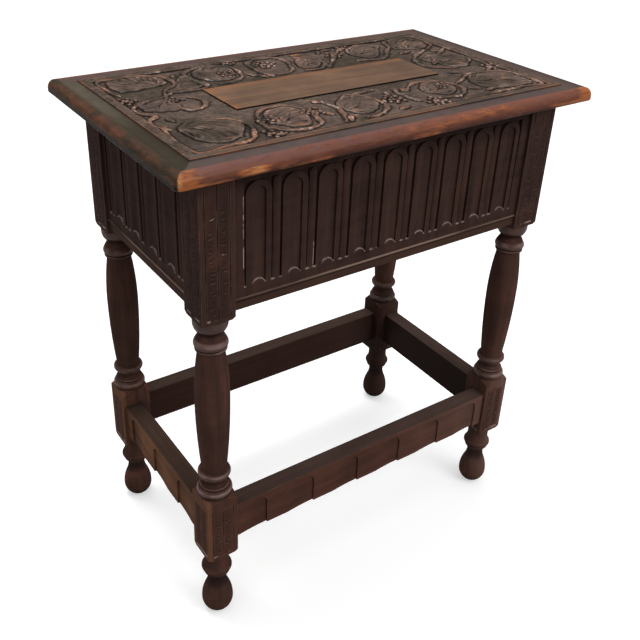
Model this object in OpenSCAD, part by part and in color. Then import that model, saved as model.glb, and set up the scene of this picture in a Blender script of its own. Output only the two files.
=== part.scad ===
// Coffin table: a small oak box table on four turned legs.
// A hinged, carved and moulded lid closes a deep fluted box, and a low
// stretcher frame ties the legs. Millimetres, Z up, origin on the floor
// under the middle of the table. The front faces -Y.

/* [Lid] */
// Length of the lid, left to right
lid_w = 605; // [560:5:760]
// Depth of the lid, front to back
lid_d = 366; // [340:2:460]
// Thickness of the lid at its field
lid_t = 18; // [16:1:24]
// Overhang of the lid past the legs at each end
overhang_x = 37; // [30:1:50]
// Overhang of the lid past the legs at front and back
overhang_y = 27.5; // [22:0.5:40]
// Width of the moulded edge, from the lid's edge to its field
moulding_w = 31; // [29:1:40]
// Radius of the rounded nose
nose_r = 11; // [8:0.5:12]
// Width of the hollow between nose and field
cove_w = 18; // [14:0.5:20]
// Depth of that hollow
cove_depth = 3; // [2:0.25:4]
// Flat left between the hollow and the field
quirk_w = 0.6; // [0.4:0.1:1.5]
// Height of the step between moulding and field
field_step = 1; // [0.5:0.25:2]
// Rounding of the lid's lower edge
lower_edge_r = 2.5; // [1:0.25:3.5]
// Rounding of the lid's corners, seen from above
lid_corner_r = 7; // [4:0.5:10]
// Flat margin left round the carved ground
field_margin = 10; // [6:0.5:14]
// Depth of the carved ground below the field
ground_depth = 3; // [2:0.25:4]
// Length of the plain tablet
tablet_w = 311; // [220:1:360]
// Depth of the plain tablet, front to back
tablet_d = 84; // [60:1:110]
// Tablet centre, right of the lid's centre
tablet_dx = 3; // [-10:1:10]
// Tablet centre, behind the lid's centre
tablet_dy = 4; // [-10:1:10]

/* [Frame] */
// Height of the table
table_h = 684; // [620:1:780]
// Width of the square parts of the legs
block_w = 43; // [40:0.5:50]
// Height of the square post at the top of a leg
post_h = 182; // [176:1:230]
// Height of the lower square block above the floor
low_block_z = 115; // [105:1:140]
// Height of the lower square block
low_block_h = 101; // [80:1:110]

/* [Turning] */
// Greatest radius of the column
column_r = 21.8; // [18:0.1:24]
// Radius of the column at its foot
column_foot_r = 16; // [13:0.1:17]
// Radius of the column under its top ring
column_top_r = 16.4; // [13:0.1:17]
// Place of the greatest radius, as a share of the column's length
column_swell = 0.62; // [0.4:0.01:0.75]
// Radius of the rings above and below the column
ring_r = 21.2; // [18.5:0.1:23]
// Radius of the cup that stands on the lower block
cup_r = 23; // [20:0.1:23.5]
// Radius of the necks beside the rings
neck_r = 13.8; // [11:0.1:15]
// Greatest radius of the pear foot
bulb_r = 21.6; // [18:0.1:24]
// Height of that radius above the floor
bulb_z = 22; // [18:0.5:27]
// Radius of the neck above the pear
foot_neck_r = 12.6; // [10:0.1:14]

/* [Box] */
// Thickness of the side boards
panel_t = 16; // [14:0.5:20]
// Setback of the carved boards and rails from the post faces
panel_recess = 4; // [2:0.25:6]
// Setback of the plain back board
back_recess = 1; // [0.5:0.25:4]
// Height of the rail under each board
rail_h = 15; // [12:0.5:20]
// Height of the rails above the bottom of the posts
rail_lift = 7.8; // [2:0.2:12]
// Width of the ledge that carries the bottom board
ledge_w = 9; // [6:0.5:14]
// Thickness of the bottom board
bottom_t = 8; // [6:0.5:10]
// Radius of the bead along the top of the rails
bead_r = 1.6; // [1:0.1:2.5]

/* [Carved boards] */
// Number of arched tabs on the front
front_tabs = 9; // [7:1:10]
// Number of arched tabs on each side
side_tabs = 4; // [3:1:5]
// Plain strip at each end of the front carving
front_end = 13.5; // [8:0.5:20]
// Plain strip at each end of the side carving
side_end = 6.8; // [4:0.2:12]
// Width of the narrow reeds between the tabs
reed_w = 10; // [7:0.5:12]
// Width of the grooves beside the reeds
groove_w = 2.3; // [1.5:0.1:3.5]
// Depth of the grooves
groove_depth = 4; // [2:0.25:5]
// Plain band under the carving
low_band = 12.5; // [8:0.5:20]
// Plain band above the carving
top_band = 20; // [10:0.5:30]
// Width of the rim round each hollow
rim_w = 7; // [5:0.5:9]
// Depth of the hollows at their steep side
hollow_depth = 2.5; // [1.5:0.25:4]

/* [Stretchers] */
// Height of a stretcher
stretcher_h = 55; // [45:1:65]
// Thickness of a stretcher
stretcher_t = 24.5; // [20:0.5:28]
// Setback of the stretchers from the block faces
stretcher_recess = 4; // [2:0.25:6]
// Height of the stretchers above the bottom of the blocks
stretcher_lift = 23; // [16:0.5:30]
// Number of scooped flutes on the front stretcher
front_flutes = 6; // [4:1:7]
// Number of scooped flutes on each side stretcher
side_flutes = 3; // [2:1:3]
// Width of a flute, from its shallow side to its steep side
flute_w = 42; // [30:1:46]
// Depth of a flute at its steep side
flute_depth = 2.5; // [1.5:0.25:4]
// Plain strip past the steep side of the last front flute
front_flute_end = 15; // [8:1:30]
// Plain strip before the shallow side of the first front flute
front_flute_start = 6; // [2:1:20]
// Plain strip past the steep side of the last side flute
side_flute_end = 19; // [10:1:30]
// Plain strip before the shallow side of the first side flute
side_flute_start = 14; // [6:1:30]
// Solid edge above the flutes
flute_top = 6; // [4:0.5:10]

/* [Hinges] */
// Distance from each back post to the middle of its hinge
hinge_inset = 72.5; // [45:0.5:110]
// Length of a hinge
hinge_w = 50; // [40:1:64]
// Thickness of a leaf
leaf_t = 1.6; // [1.2:0.1:2]
// Radius of the knuckles
knuckle_r = 3.1; // [2.8:0.1:4]
// Radius of the pin
pin_r = 1.45; // [1.2:0.05:1.6]
// Distance from the post faces to the hinge axis
hinge_out = 3.5; // [3.2:0.1:5]
// Length of a hinge screw
screw_l = 12; // [9:0.5:13]
// Radius of a screw's shank
screw_r = 1.4; // [1.1:0.1:1.7]
// Radius of a screw's head
screw_head_r = 2.9; // [2.5:0.1:3.4]

/* [Clearances] */
// Gap between the closed lid and the box
lid_gap = 0.3; // [0.2:0.05:0.6]
// Radial gap of the pin in the knuckles that turn on it
running_gap = 0.06; // [0.03:0.01:0.1]
// Radial gap of pins and screws that are held
held_gap = 0.02; // [0.01:0.01:0.04]
// Gap between the ends of neighbouring knuckles
knuckle_gap = 0.3; // [0.2:0.05:0.5]
// Spare depth at the bottom of every mortise
mortise_gap = 1; // [0.5:0.25:2]
// Gap round the posts in the corner notches of the bottom board
notch_gap = 0.3; // [0.2:0.1:1]

/* [Hidden] */

$fn = 96;
dark_oak = "#3c2a24";
panel_oak = "#2e2320";
lid_oak = "#5a4a40";
inner_wood = "#7a5a3c";
aged_brass = "#8a6a34";

half_block = block_w / 2;
block_corner_r = half_block * sqrt(2);
leg_x = lid_w / 2 - overhang_x - half_block;
leg_y = lid_d / 2 - overhang_y - half_block;
lid_z = table_h - lid_t;
moulding_z = table_h - field_step;
box_top = lid_z - lid_gap;
post_z = box_top - post_h;
low_block_top = low_block_z + low_block_h;
span_x = 2 * leg_x - block_w;
span_y = 2 * leg_y - block_w;

// Heights of the turned rings, counted from the block beside each
ring_h = 11;
foot_ring_z = low_block_z - 33.5;
foot_neck_z = low_block_z - 51;
cup_h = 10;
low_neck_z = low_block_top + 25;
low_ring_z = low_block_top + 35.5;
up_ring_z = post_z - 35.5;
up_neck_z = post_z - 20.5;
column_z0 = low_ring_z + 5;
column_z1 = up_ring_z - 10.5;
shoulder_drop = 5;
corner_ease = 3;
decor_line_x = 15.3;
decor_line_w = 1.2;
decor_line_depth = 0.8;
decor_end = 6.5;
decor_top = 15;
hollow_fade = 0.5;
scoop_past = 0.3;
reed_flat = 0.04;
arch_extra = 0.1;

rail_z = post_z + rail_lift;
rail_top = rail_z + rail_h;
panel_h = box_top - rail_top;
tenon_share = 0.5;
panel_tenon_l = 12;
panel_shoulder = 10;
panel_tenon_t = panel_t * tenon_share;
panel_tenon_z = rail_top + panel_shoulder;
panel_tenon_h = panel_h - 2 * panel_shoulder;
rail_shoulder = 3;
rail_tenon_l = 16;
rail_tenon_t = 8;
rail_tenon_z = rail_z + rail_shoulder;
rail_tenon_h = rail_h - 2 * rail_shoulder;
stretcher_z = low_block_z + stretcher_lift;
stretcher_tenon_l = 17;
stretcher_tenon_t = 9;
stretcher_shoulder = 10;
stretcher_tenon_z = stretcher_z + stretcher_shoulder;
stretcher_tenon_h = stretcher_h - 2 * stretcher_shoulder;

hinge_x = span_x / 2 - hinge_inset;
hinge_y = leg_y + half_block + hinge_out;
hinge_z = box_top + lid_gap / 2;
leaf_edge_y = leg_y + half_block - back_recess - panel_t + 1.5;
screw_y = leg_y + half_block - back_recess - panel_t / 2;
screw_spacing = hinge_w * 0.36;
knuckles = 5;
knuckle_l = hinge_w / knuckles;
leaf_relief = 0.4;
barrel_gap = 0.5;
pin_head_r = 2.3;
pin_head_l = 0.8;
slot_w = 0.8;
slot_depth = 0.5;

// Radius of the circle that passes through the ends and the middle of a
// chord of length c with a rise of h
function chord_r(c, h) = (c * c / 4 + h * h) / (2 * h);

cove_r = chord_r(cove_w, cove_depth);
cove_mid = moulding_w - quirk_w - cove_w / 2;

// Turned profiles. Each draws a half section between the axis and the surface.

module fillet(z, r, h) {
    translate([0, z]) square([r, h]);
}

module bead(z, r, h) {
    translate([0, z - h / 2]) square([r - h / 2, h]);
    translate([r - h / 2, z]) circle(d = h);
}

module cone_band(z0, r0, z1, r1) {
    polygon([[0, z0], [r0, z0], [r1, z1], [0, z1]]);
}

// Hollow neck between two equal radii
module scotia(z0, z1, r_out, r_in) {
    round_r = chord_r(z1 - z0, r_out - r_in);
    difference() {
        fillet(z0, r_out, z1 - z0);
        translate([r_in + round_r, (z0 + z1) / 2]) circle(round_r);
    }
}

// Convex band, fullest at full_z, that falls to end_r at end_z
module bow(full_z, full_r, end_z, end_r) {
    rise = full_r - end_r;
    round_r = chord_r(2 * (end_z - full_z), rise);
    intersection() {
        translate([0, min(full_z, end_z)]) square([full_r, abs(end_z - full_z)]);
        translate([full_r - round_r, full_z]) circle(round_r, $fn = 360);
    }
}

// Double curve that falls from a full radius to a neck above it
module ogee(full_z, full_r, neck_z, neck_radius, share) {
    rise = neck_z - full_z;
    fall = full_r - neck_radius;
    both_r = (rise * rise + fall * fall) / (2 * fall);
    turn_z = full_z + share * rise;
    turn_r = full_r - share * fall;
    bow(full_z, full_r, turn_z, turn_r);
    difference() {
        fillet(turn_z, turn_r, neck_z - turn_z);
        translate([neck_radius + (1 - share) * both_r, neck_z])
            circle((1 - share) * both_r, $fn = 180);
    }
}

module foot_profile() {
    bow(bulb_z, bulb_r, 0, bulb_r * 0.3);
    ogee(bulb_z, bulb_r, foot_neck_z, foot_neck_r, 0.6);
    cone_band(foot_neck_z, foot_neck_r, foot_ring_z - 8, foot_neck_r + 2.5);
    bead(foot_ring_z - 6.2, ring_r - 3.2, 5);
    bead(foot_ring_z + 1, ring_r - 0.5, ring_h - 1);
    scotia(foot_ring_z + 4, low_block_z + 1, neck_r + 4.4, neck_r + 2.2);
}

module cup_profile() {
    fillet(low_block_top, cup_r - 3, 5);
    bead(low_block_top + 8, cup_r, cup_h);
    fillet(low_block_top + 12.5, cup_r - 2.8, 2);
    bead(low_block_top + 16.5, cup_r - 3.8, 4.5);
    fillet(low_block_top + 16.5, cup_r - 6, 3.5);
    scotia(low_block_top + 19.5, low_neck_z + 5.5, neck_r + 3.2, neck_r);
    bead(low_ring_z, ring_r, ring_h);
    fillet(low_ring_z - 8, column_foot_r + 1, 14.5);
}

module column_profile() {
    swell_z = column_z0 + column_swell * (column_z1 - column_z0);
    bow(swell_z, column_r, column_z0, column_foot_r);
    bow(swell_z, column_r, column_z1, column_top_r);
}

module upper_profile() {
    fillet(column_z1 - 1, column_top_r + 0.6, 4);
    bead(up_ring_z - 7.2, ring_r - 1.6, 4.6);
    bead(up_ring_z, ring_r - 0.3, ring_h - 1);
    cone_band(up_ring_z + 3, ring_r - 1.1, up_neck_z, neck_r);
    bow(post_z - 7, neck_r + 7.4, up_neck_z, neck_r);
    fillet(post_z - 7, neck_r + 7.4, 8);
}

// Cylinders and cones that ease the corners of the square parts on the lathe
module low_block_envelope() {
    cone_band(low_block_z, block_corner_r - corner_ease, low_block_z + corner_ease + 1,
        block_corner_r + 1);
    fillet(low_block_z + corner_ease + 1, block_corner_r + 1,
        low_block_h - shoulder_drop - corner_ease - 1);
    cone_band(low_block_top - shoulder_drop, block_corner_r + 1, low_block_top + 1.5, cup_r - 1);
}

module post_envelope() {
    cone_band(post_z, block_corner_r - corner_ease, post_z + corner_ease + 1,
        block_corner_r + 1);
    fillet(post_z + corner_ease + 1, block_corner_r + 1, post_h);
}

module square_part(z0, h) {
    translate([-half_block, -half_block, z0]) cube([block_w, block_w, h]);
}

// Decor lines on one face, which looks along the angle: three uprights, and a
// line across at each of the given heights
module decor_lines(angle, z0, h, across) {
    rotate([0, 0, angle]) {
        for (x = [-decor_line_x, 0, decor_line_x])
            translate([x - decor_line_w / 2, -half_block - 1, z0])
                cube([decor_line_w, decor_line_depth + 1, h]);
        for (z = across)
            translate([-decor_line_x - decor_line_w / 2, -half_block - 1, z])
                cube([2 * decor_line_x + decor_line_w, decor_line_depth + 1, decor_line_w]);
    }
}

module leg_decor(angle) {
    post_line_z = post_z + decor_end;
    low_line_z = low_block_z + decor_end;
    low_line_h = low_block_h - decor_end - decor_top;
    decor_lines(angle, post_line_z, post_h, [post_line_z]);
    decor_lines(angle, low_line_z, low_line_h, [low_line_z, low_line_z + low_line_h - decor_line_w]);
}

// Mortise that runs along X from the block's inner face, towards the side sx
module mortise_x(sx, y, t, z0, h, l) {
    depth = l + mortise_gap;
    translate([sx < 0 ? half_block - depth : -half_block - 1, y - t / 2, z0])
        cube([depth + 1, t, h]);
}

module mortise_y(sy, x, t, z0, h, l) {
    depth = l + mortise_gap;
    translate([x - t / 2, sy < 0 ? half_block - depth : -half_block - 1, z0])
        cube([t, depth + 1, h]);
}

module board_mortise_x(sx, y) {
    mortise_x(sx, y, panel_tenon_t, panel_tenon_z, panel_tenon_h, panel_tenon_l);
}

module board_mortise_y(sy, x) {
    mortise_y(sy, x, panel_tenon_t, panel_tenon_z, panel_tenon_h, panel_tenon_l);
}

module rail_mortise_x(sx, y) {
    mortise_x(sx, y, rail_tenon_t, rail_tenon_z, rail_tenon_h, rail_tenon_l);
}

module rail_mortise_y(sy, x) {
    mortise_y(sy, x, rail_tenon_t, rail_tenon_z, rail_tenon_h, rail_tenon_l);
}

module low_mortise_x(sx, y) {
    mortise_x(sx, y, stretcher_tenon_t, stretcher_tenon_z, stretcher_tenon_h, stretcher_tenon_l);
}

module low_mortise_y(sy, x) {
    mortise_y(sy, x, stretcher_tenon_t, stretcher_tenon_z, stretcher_tenon_h, stretcher_tenon_l);
}

// Distance from a block's centre to the middle of a board set back from its face
function member_offset(recess, t) = half_block - recess - t / 2;

// One leg. sx and sy are the signs of its corner of the table.
module leg(sx, sy) {
    board_y = sy * member_offset(sy < 0 ? panel_recess : back_recess, panel_t);
    board_x = sx * member_offset(panel_recess, panel_t);
    low_x = sx * member_offset(stretcher_recess, stretcher_t);
    low_y = sy * member_offset(stretcher_recess, stretcher_t);
    color(dark_oak)
        translate([sx * leg_x, sy * leg_y, 0])
            difference() {
                union() {
                    rotate_extrude() {
                        foot_profile();
                        cup_profile();
                        column_profile();
                        upper_profile();
                    }
                    intersection() {
                        square_part(low_block_z, low_block_h + 1.5);
                        rotate_extrude() low_block_envelope();
                    }
                    intersection() {
                        square_part(post_z, post_h);
                        rotate_extrude() post_envelope();
                    }
                }
                board_mortise_x(sx, board_y);
                board_mortise_y(sy, board_x);
                rail_mortise_x(sx, board_y);
                rail_mortise_y(sy, board_x);
                low_mortise_x(sx, low_y);
                low_mortise_y(sy, low_x);
                leg_decor(sx < 0 ? -90 : 90);
                if (sy < 0) leg_decor(0);
            }
}

// Boards, rails and stretchers are drawn along X with the outer face at y = 0,
// the inner face at y = t, centred on x = 0, and then turned to their side.

module place_side(side) {
    if (side == "front")
        translate([0, -leg_y - half_block, 0]) children();
    if (side == "back")
        translate([0, leg_y + half_block, 0]) rotate([0, 0, 180]) children();
    if (side == "left")
        translate([-leg_x - half_block, 0, 0]) rotate([0, 0, -90]) children();
    if (side == "right")
        translate([leg_x + half_block, 0, 0]) rotate([0, 0, 90]) children();
}

module member(span, t, z0, h, tenon_l, tenon_t, tenon_z, tenon_h) {
    translate([-span / 2, 0, z0]) cube([span, t, h]);
    translate([-span / 2 - tenon_l, t / 2 - tenon_t / 2, tenon_z])
        cube([span + 2 * tenon_l, tenon_t, tenon_h]);
}

module plain_panel(span) {
    member(span, panel_t, rail_top, panel_h, panel_tenon_l, panel_tenon_t,
        panel_tenon_z, panel_tenon_h);
}

// Part of a large cylinder that cuts to the full depth just past x = 0 and rises
// to the face, at y = 0, over the width w on the left
module scoop_body(w, depth, z0, h) {
    round_r = chord_r(2 * (w + scoop_past), depth);
    translate([scoop_past, depth - round_r, z0]) cylinder(r = round_r, h = h, $fn = 720);
}

// Outline of an upright strip with a round top, which is a hair wider than the strip
module arch(x, w, z0, z1) {
    translate([x - w / 2, z0]) square([w, z1 - z0 - w / 2]);
    translate([x, z1 - w / 2]) circle(d = w + arch_extra);
}

// Hollow of one tab, with its steep side on the right. It ends at the bottom
// against a half moon left standing.
module tab_hollow(x, w, z0, z1, depth) {
    moon_r = w / 2 - hollow_fade;
    intersection() {
        translate([x + w / 2, 0, 0]) scoop_body(w - hollow_fade, depth, z0 - 1, z1 - z0 + 2);
        translate([0, depth + 1, 0]) rotate([90, 0, 0])
            linear_extrude(depth + 2)
                difference() {
                    arch(x, w, z0, z1);
                    translate([x, z0 - moon_r * 0.3]) circle(moon_r);
                }
    }
}

// Row of reeds and hollowed tabs with arched tops, carved on the outer face
module carved_panel(span, tabs, end_w, end_reeds) {
    outer_reed = end_reeds ? reed_w + 2 * groove_w : 0;
    pitch = (span - 2 * end_w - outer_reed + (end_reeds ? 0 : reed_w)) / tabs;
    tab_w = pitch - reed_w - 2 * groove_w;
    run = span - 2 * end_w;
    z0 = rail_top + low_band;
    z1 = box_top - top_band;
    first = -(tabs - 1) / 2 * pitch;
    hollow_w = tab_w - 2 * rim_w;
    reed_round = chord_r(reed_w, 1.6);
    reed_first = end_reeds ? -tabs / 2 : -(tabs - 2) / 2;
    reed_count = end_reeds ? tabs + 1 : tabs - 1;
    difference() {
        plain_panel(span);
        translate([0, groove_depth, 0]) rotate([90, 0, 0])
            linear_extrude(groove_depth + 1)
                difference() {
                    translate([-run / 2, z0]) square([run, z1 - z0 + 1]);
                    for (k = [0:tabs - 1])
                        arch(first + k * pitch, tab_w, z0 - 1, z1);
                    for (k = [0:reed_count - 1])
                        arch((reed_first + k) * pitch, reed_w, z0 - 1, z1);
                }
        for (k = [0:tabs - 1])
            tab_hollow(first + k * pitch, hollow_w, z0, z1 - rim_w, hollow_depth);
        for (k = [0:reed_count - 1])
            translate([(reed_first + k) * pitch, 0, z0])
                difference() {
                    translate([-reed_w / 2 - 0.2, -1, 0]) cube([reed_w + 0.4, 2.6, z1 - z0 + 1]);
                    translate([0, reed_round - reed_flat, -1])
                        cylinder(r = reed_round, h = z1 - z0 + 3);
                }
    }
}

// Rail with a ledge inside and, where recess is more than 0, a bead in front
module rail(span, recess) {
    member(span, panel_t, rail_z, rail_h, rail_tenon_l, rail_tenon_t,
        rail_tenon_z, rail_tenon_h);
    translate([-span / 2, panel_t / 2, rail_z])
        cube([span, panel_t / 2 + ledge_w, rail_h - bottom_t]);
    if (recess > 0)
        intersection() {
            translate([-span / 2, 0, rail_top - bead_r]) rotate([0, 90, 0])
                cylinder(r = bead_r, h = span);
            translate([-span / 2, -recess, rail_z]) cube([span, recess + panel_t / 2, rail_h]);
        }
}

// Row of scooped flutes that are open at the bottom. The steep side of each is on
// the right where dir is 1 and on the left where dir is -1.
module flutes(span, count, end_w, start_w, dir) {
    pitch = (span - end_w - start_w - flute_w) / (count - 1);
    z1 = stretcher_z + stretcher_h - flute_top;
    corner = flute_w * 0.28;
    mirror([dir < 0 ? 1 : 0, 0, 0])
        for (k = [0:count - 1])
            translate([span / 2 - end_w - k * pitch, 0, 0])
                intersection() {
                    scoop_body(flute_w, flute_depth, stretcher_z - 1, stretcher_h + 2);
                    translate([0, flute_depth + 1, 0]) rotate([90, 0, 0])
                        linear_extrude(flute_depth + 2) {
                            translate([-flute_w - 1, stretcher_z - 1])
                                square([flute_w + 1, z1 - corner - stretcher_z + 1]);
                            translate([-flute_w - 1, z1 - corner - 1])
                                square([flute_w + 1 - corner, corner + 1]);
                            translate([-corner, z1 - corner]) circle(corner);
                        }
                }
}

module stretcher(span, count, end_w, start_w, dir) {
    difference() {
        member(span, stretcher_t, stretcher_z, stretcher_h, stretcher_tenon_l,
            stretcher_tenon_t, stretcher_tenon_z, stretcher_tenon_h);
        if (count > 0) flutes(span, count, end_w, start_w, dir);
    }
}

module recessed(recess) {
    translate([0, recess, 0]) children();
}

module front_panel() {
    color(panel_oak) place_side("front") recessed(panel_recess)
        carved_panel(span_x, front_tabs, front_end, false);
}

module left_panel() {
    color(panel_oak) place_side("left") recessed(panel_recess)
        carved_panel(span_y, side_tabs, side_end, true);
}

module right_panel() {
    color(panel_oak) place_side("right") recessed(panel_recess)
        carved_panel(span_y, side_tabs, side_end, true);
}

module back_panel() {
    color(panel_oak)
        difference() {
            place_side("back") recessed(back_recess) plain_panel(span_x);
            for (s = [-1, 1]) {
                leaf_bed(s, box_top - leaf_t, leaf_t + 1);
                screw_holes(s, box_top - screw_l - held_gap, screw_l + 1);
            }
        }
}

module front_rail() {
    color(panel_oak) place_side("front") recessed(panel_recess) rail(span_x, panel_recess);
}

module back_rail() {
    color(panel_oak) place_side("back") recessed(back_recess) rail(span_x, 0);
}

module left_rail() {
    color(panel_oak) place_side("left") recessed(panel_recess) rail(span_y, panel_recess);
}

module right_rail() {
    color(panel_oak) place_side("right") recessed(panel_recess) rail(span_y, panel_recess);
}

module bottom_board() {
    half_w = leg_x + half_block - panel_recess - panel_t;
    front_y = -leg_y - half_block + panel_recess + panel_t;
    back_y = leg_y + half_block - back_recess - panel_t;
    notch = block_w + 2 * notch_gap;
    color(inner_wood)
        difference() {
            translate([-half_w, front_y, rail_top - bottom_t])
                cube([2 * half_w, back_y - front_y, bottom_t]);
            for (sx = [-1, 1], sy = [-1, 1])
                translate([sx * leg_x - notch / 2, sy * leg_y - notch / 2, rail_top - bottom_t - 1])
                    cube([notch, notch, bottom_t + 2]);
        }
}

module front_stretcher() {
    color(dark_oak) place_side("front") recessed(stretcher_recess)
        stretcher(span_x, front_flutes, front_flute_end, front_flute_start, 1);
}

module back_stretcher() {
    color(dark_oak) place_side("back") recessed(stretcher_recess)
        stretcher(span_x, 0, 0, 0, 1);
}

module left_stretcher() {
    color(dark_oak) place_side("left") recessed(stretcher_recess)
        stretcher(span_y, side_flutes, side_flute_end, side_flute_start, -1);
}

module right_stretcher() {
    color(dark_oak) place_side("right") recessed(stretcher_recess)
        stretcher(span_y, side_flutes, side_flute_end, side_flute_start, 1);
}

// The lid's moulding returns round all four corners. Each of its parts is drawn
// across the lid, run along both directions, and kept where the two runs meet,
// so that the mitres come out by themselves.

module run_along_x(l) {
    rotate([90, 0, 90]) translate([0, 0, -l / 2]) linear_extrude(l) children();
}

module run_along_y(l) {
    rotate([90, 0, 0]) translate([0, 0, -l / 2]) linear_extrude(l) children();
}

// Board of width w with its round noses and rounded lower edges
module nosed_board(w) {
    difference() {
        translate([-w / 2, lid_z]) square([w, moulding_z - lid_z]);
        for (s = [0, 1])
            mirror([s, 0]) {
                difference() {
                    translate([w / 2 - nose_r, moulding_z - nose_r]) square(nose_r + 1);
                    translate([w / 2 - nose_r, moulding_z - nose_r]) circle(nose_r);
                }
                difference() {
                    translate([w / 2 - lower_edge_r, lid_z - 1]) square(lower_edge_r + 1);
                    translate([w / 2 - lower_edge_r, lid_z + lower_edge_r]) circle(lower_edge_r);
                }
            }
    }
}

module cove_circles(w) {
    for (s = [-1, 1])
        translate([s * (w / 2 - cove_mid), moulding_z - cove_depth + cove_r])
            circle(cove_r, $fn = 180);
}

// Tray with the outer flanks of the hollows for walls
module tray(w) {
    cove_circles(w);
    translate([-w / 2 + cove_mid, moulding_z - cove_depth])
        square([w - 2 * cove_mid, cove_depth + field_step + 1]);
}

// Field block that stands in the tray, with the inner flanks for sides
module field_block(w) {
    field = w - 2 * moulding_w;
    difference() {
        translate([-w / 2 + cove_mid, moulding_z - cove_depth - 1])
            square([w - 2 * cove_mid, cove_depth + 1]);
        cove_circles(w);
    }
    translate([-field / 2, moulding_z - 0.2]) square([field, field_step + 0.2]);
}

// Waste outside the rounded corner at the right back of the lid
module corner_waste() {
    x = lid_w / 2 - lid_corner_r;
    y = lid_d / 2 - lid_corner_r;
    translate([0, 0, lid_z - 1])
        linear_extrude(lid_t + 2)
            difference() {
                translate([x + 1, y + 1]) square(lid_corner_r + 1);
                translate([x, y]) circle(lid_corner_r + 0.4);
            }
}

module lid() {
    field_w = lid_w - 2 * moulding_w - 2 * field_margin;
    field_d = lid_d - 2 * moulding_w - 2 * field_margin;
    color(lid_oak)
        difference() {
            union() {
                difference() {
                    intersection() {
                        run_along_x(lid_w) nosed_board(lid_d);
                        run_along_y(lid_d) nosed_board(lid_w);
                    }
                    intersection() {
                        run_along_x(lid_w) tray(lid_d);
                        run_along_y(lid_d) tray(lid_w);
                    }
                }
                intersection() {
                    run_along_x(lid_w) field_block(lid_d);
                    run_along_y(lid_d) field_block(lid_w);
                }
            }
            difference() {
                translate([-field_w / 2, -field_d / 2, table_h - ground_depth])
                    cube([field_w, field_d, ground_depth + 1]);
                translate([tablet_dx - tablet_w / 2, tablet_dy - tablet_d / 2, lid_z])
                    cube([tablet_w, tablet_d, lid_t + 2]);
            }
            for (s = [-1, 1]) {
                leaf_bed(s, lid_z - 1, leaf_t + 1);
                screw_holes(s, lid_z - 1, screw_l + 1 + held_gap);
                translate([s * hinge_x - hinge_w / 2 - 2, hinge_y, hinge_z]) rotate([0, 90, 0])
                    cylinder(r = knuckle_r + barrel_gap, h = hinge_w + 4);
            }
            for (mx = [0, 1], my = [0, 1])
                mirror([mx, 0, 0]) mirror([0, my, 0]) corner_waste();
        }
}

// Bed cut for a hinge leaf, on side s
module leaf_bed(s, z0, h) {
    translate([s * hinge_x - hinge_w / 2, leaf_edge_y, z0])
        cube([hinge_w, hinge_y - leaf_edge_y, h]);
}

module screw_holes(s, z0, h) {
    for (k = [-1, 0, 1])
        translate([s * hinge_x + k * screw_spacing, screw_y, z0])
            cylinder(r = screw_r + held_gap, h = h, $fn = 32);
}

// One leaf with its knuckles. dir is -1 for the leaf on the box, whose plate
// lies under the joint, and 1 for the leaf on the lid.
module hinge_leaf(s, dir, own) {
    plate_z = dir < 0 ? box_top - leaf_t : lid_z;
    face_z = dir < 0 ? box_top : lid_z;
    bore_r = pin_r + (dir < 0 ? held_gap : running_gap);
    color(aged_brass)
        difference() {
            union() {
                translate([s * hinge_x - hinge_w / 2, leaf_edge_y, plate_z])
                    cube([hinge_w, hinge_y - knuckle_r - leaf_relief - leaf_edge_y, leaf_t]);
                for (k = own)
                    translate([s * hinge_x - hinge_w / 2 + k * knuckle_l + knuckle_gap / 2, 0, 0]) {
                        translate([0, hinge_y, hinge_z])
                            rotate([0, 90, 0])
                                cylinder(r = knuckle_r, h = knuckle_l - knuckle_gap);
                        translate([0, hinge_y - knuckle_r - leaf_relief - 1, plate_z])
                            cube([knuckle_l - knuckle_gap, knuckle_r + leaf_relief + 1, leaf_t]);
                    }
            }
            translate([s * hinge_x - hinge_w / 2 - 1, hinge_y, hinge_z]) rotate([0, 90, 0])
                cylinder(r = bore_r, h = hinge_w + 2);
            for (k = [-1, 0, 1])
                translate([s * hinge_x + k * screw_spacing, screw_y, face_z])
                    rotate([dir < 0 ? 180 : 0, 0, 0])
                        screw_shape(held_gap, 0);
        }
}

// Screw that points up from z = 0. gap widens it into its own hole.
module screw_shape(gap, slot) {
    head_h = leaf_t - 0.2;
    difference() {
        union() {
            translate([0, 0, -gap])
                cylinder(r1 = screw_head_r + gap, r2 = screw_r + gap, h = head_h + gap);
            cylinder(r = screw_r + gap, h = screw_l - 2);
            translate([0, 0, screw_l - 2]) cylinder(r1 = screw_r + gap, r2 = 0.3, h = 2);
        }
        if (slot > 0)
            translate([-screw_head_r - 1, -slot / 2, -1])
                cube([2 * screw_head_r + 2, slot, 1 + slot_depth]);
    }
}

module hinge_pin(s) {
    color(aged_brass)
        translate([s * hinge_x, hinge_y, hinge_z]) rotate([0, 90, 0]) {
            cylinder(r = pin_r, h = hinge_w + 0.2, center = true);
            for (e = [-1, 1])
                translate([0, 0, e * (hinge_w / 2 + 0.1 + pin_head_l / 2)])
                    cylinder(r = pin_head_r, h = pin_head_l, center = true);
        }
}

module leaf_screws(dir) {
    color(aged_brass)
        for (s = [-1, 1], k = [-1, 0, 1])
            translate([s * hinge_x + k * screw_spacing, screw_y, dir < 0 ? box_top : lid_z])
                rotate([dir < 0 ? 180 : 0, 0, 0])
                    screw_shape(0, slot_w);
}

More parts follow.
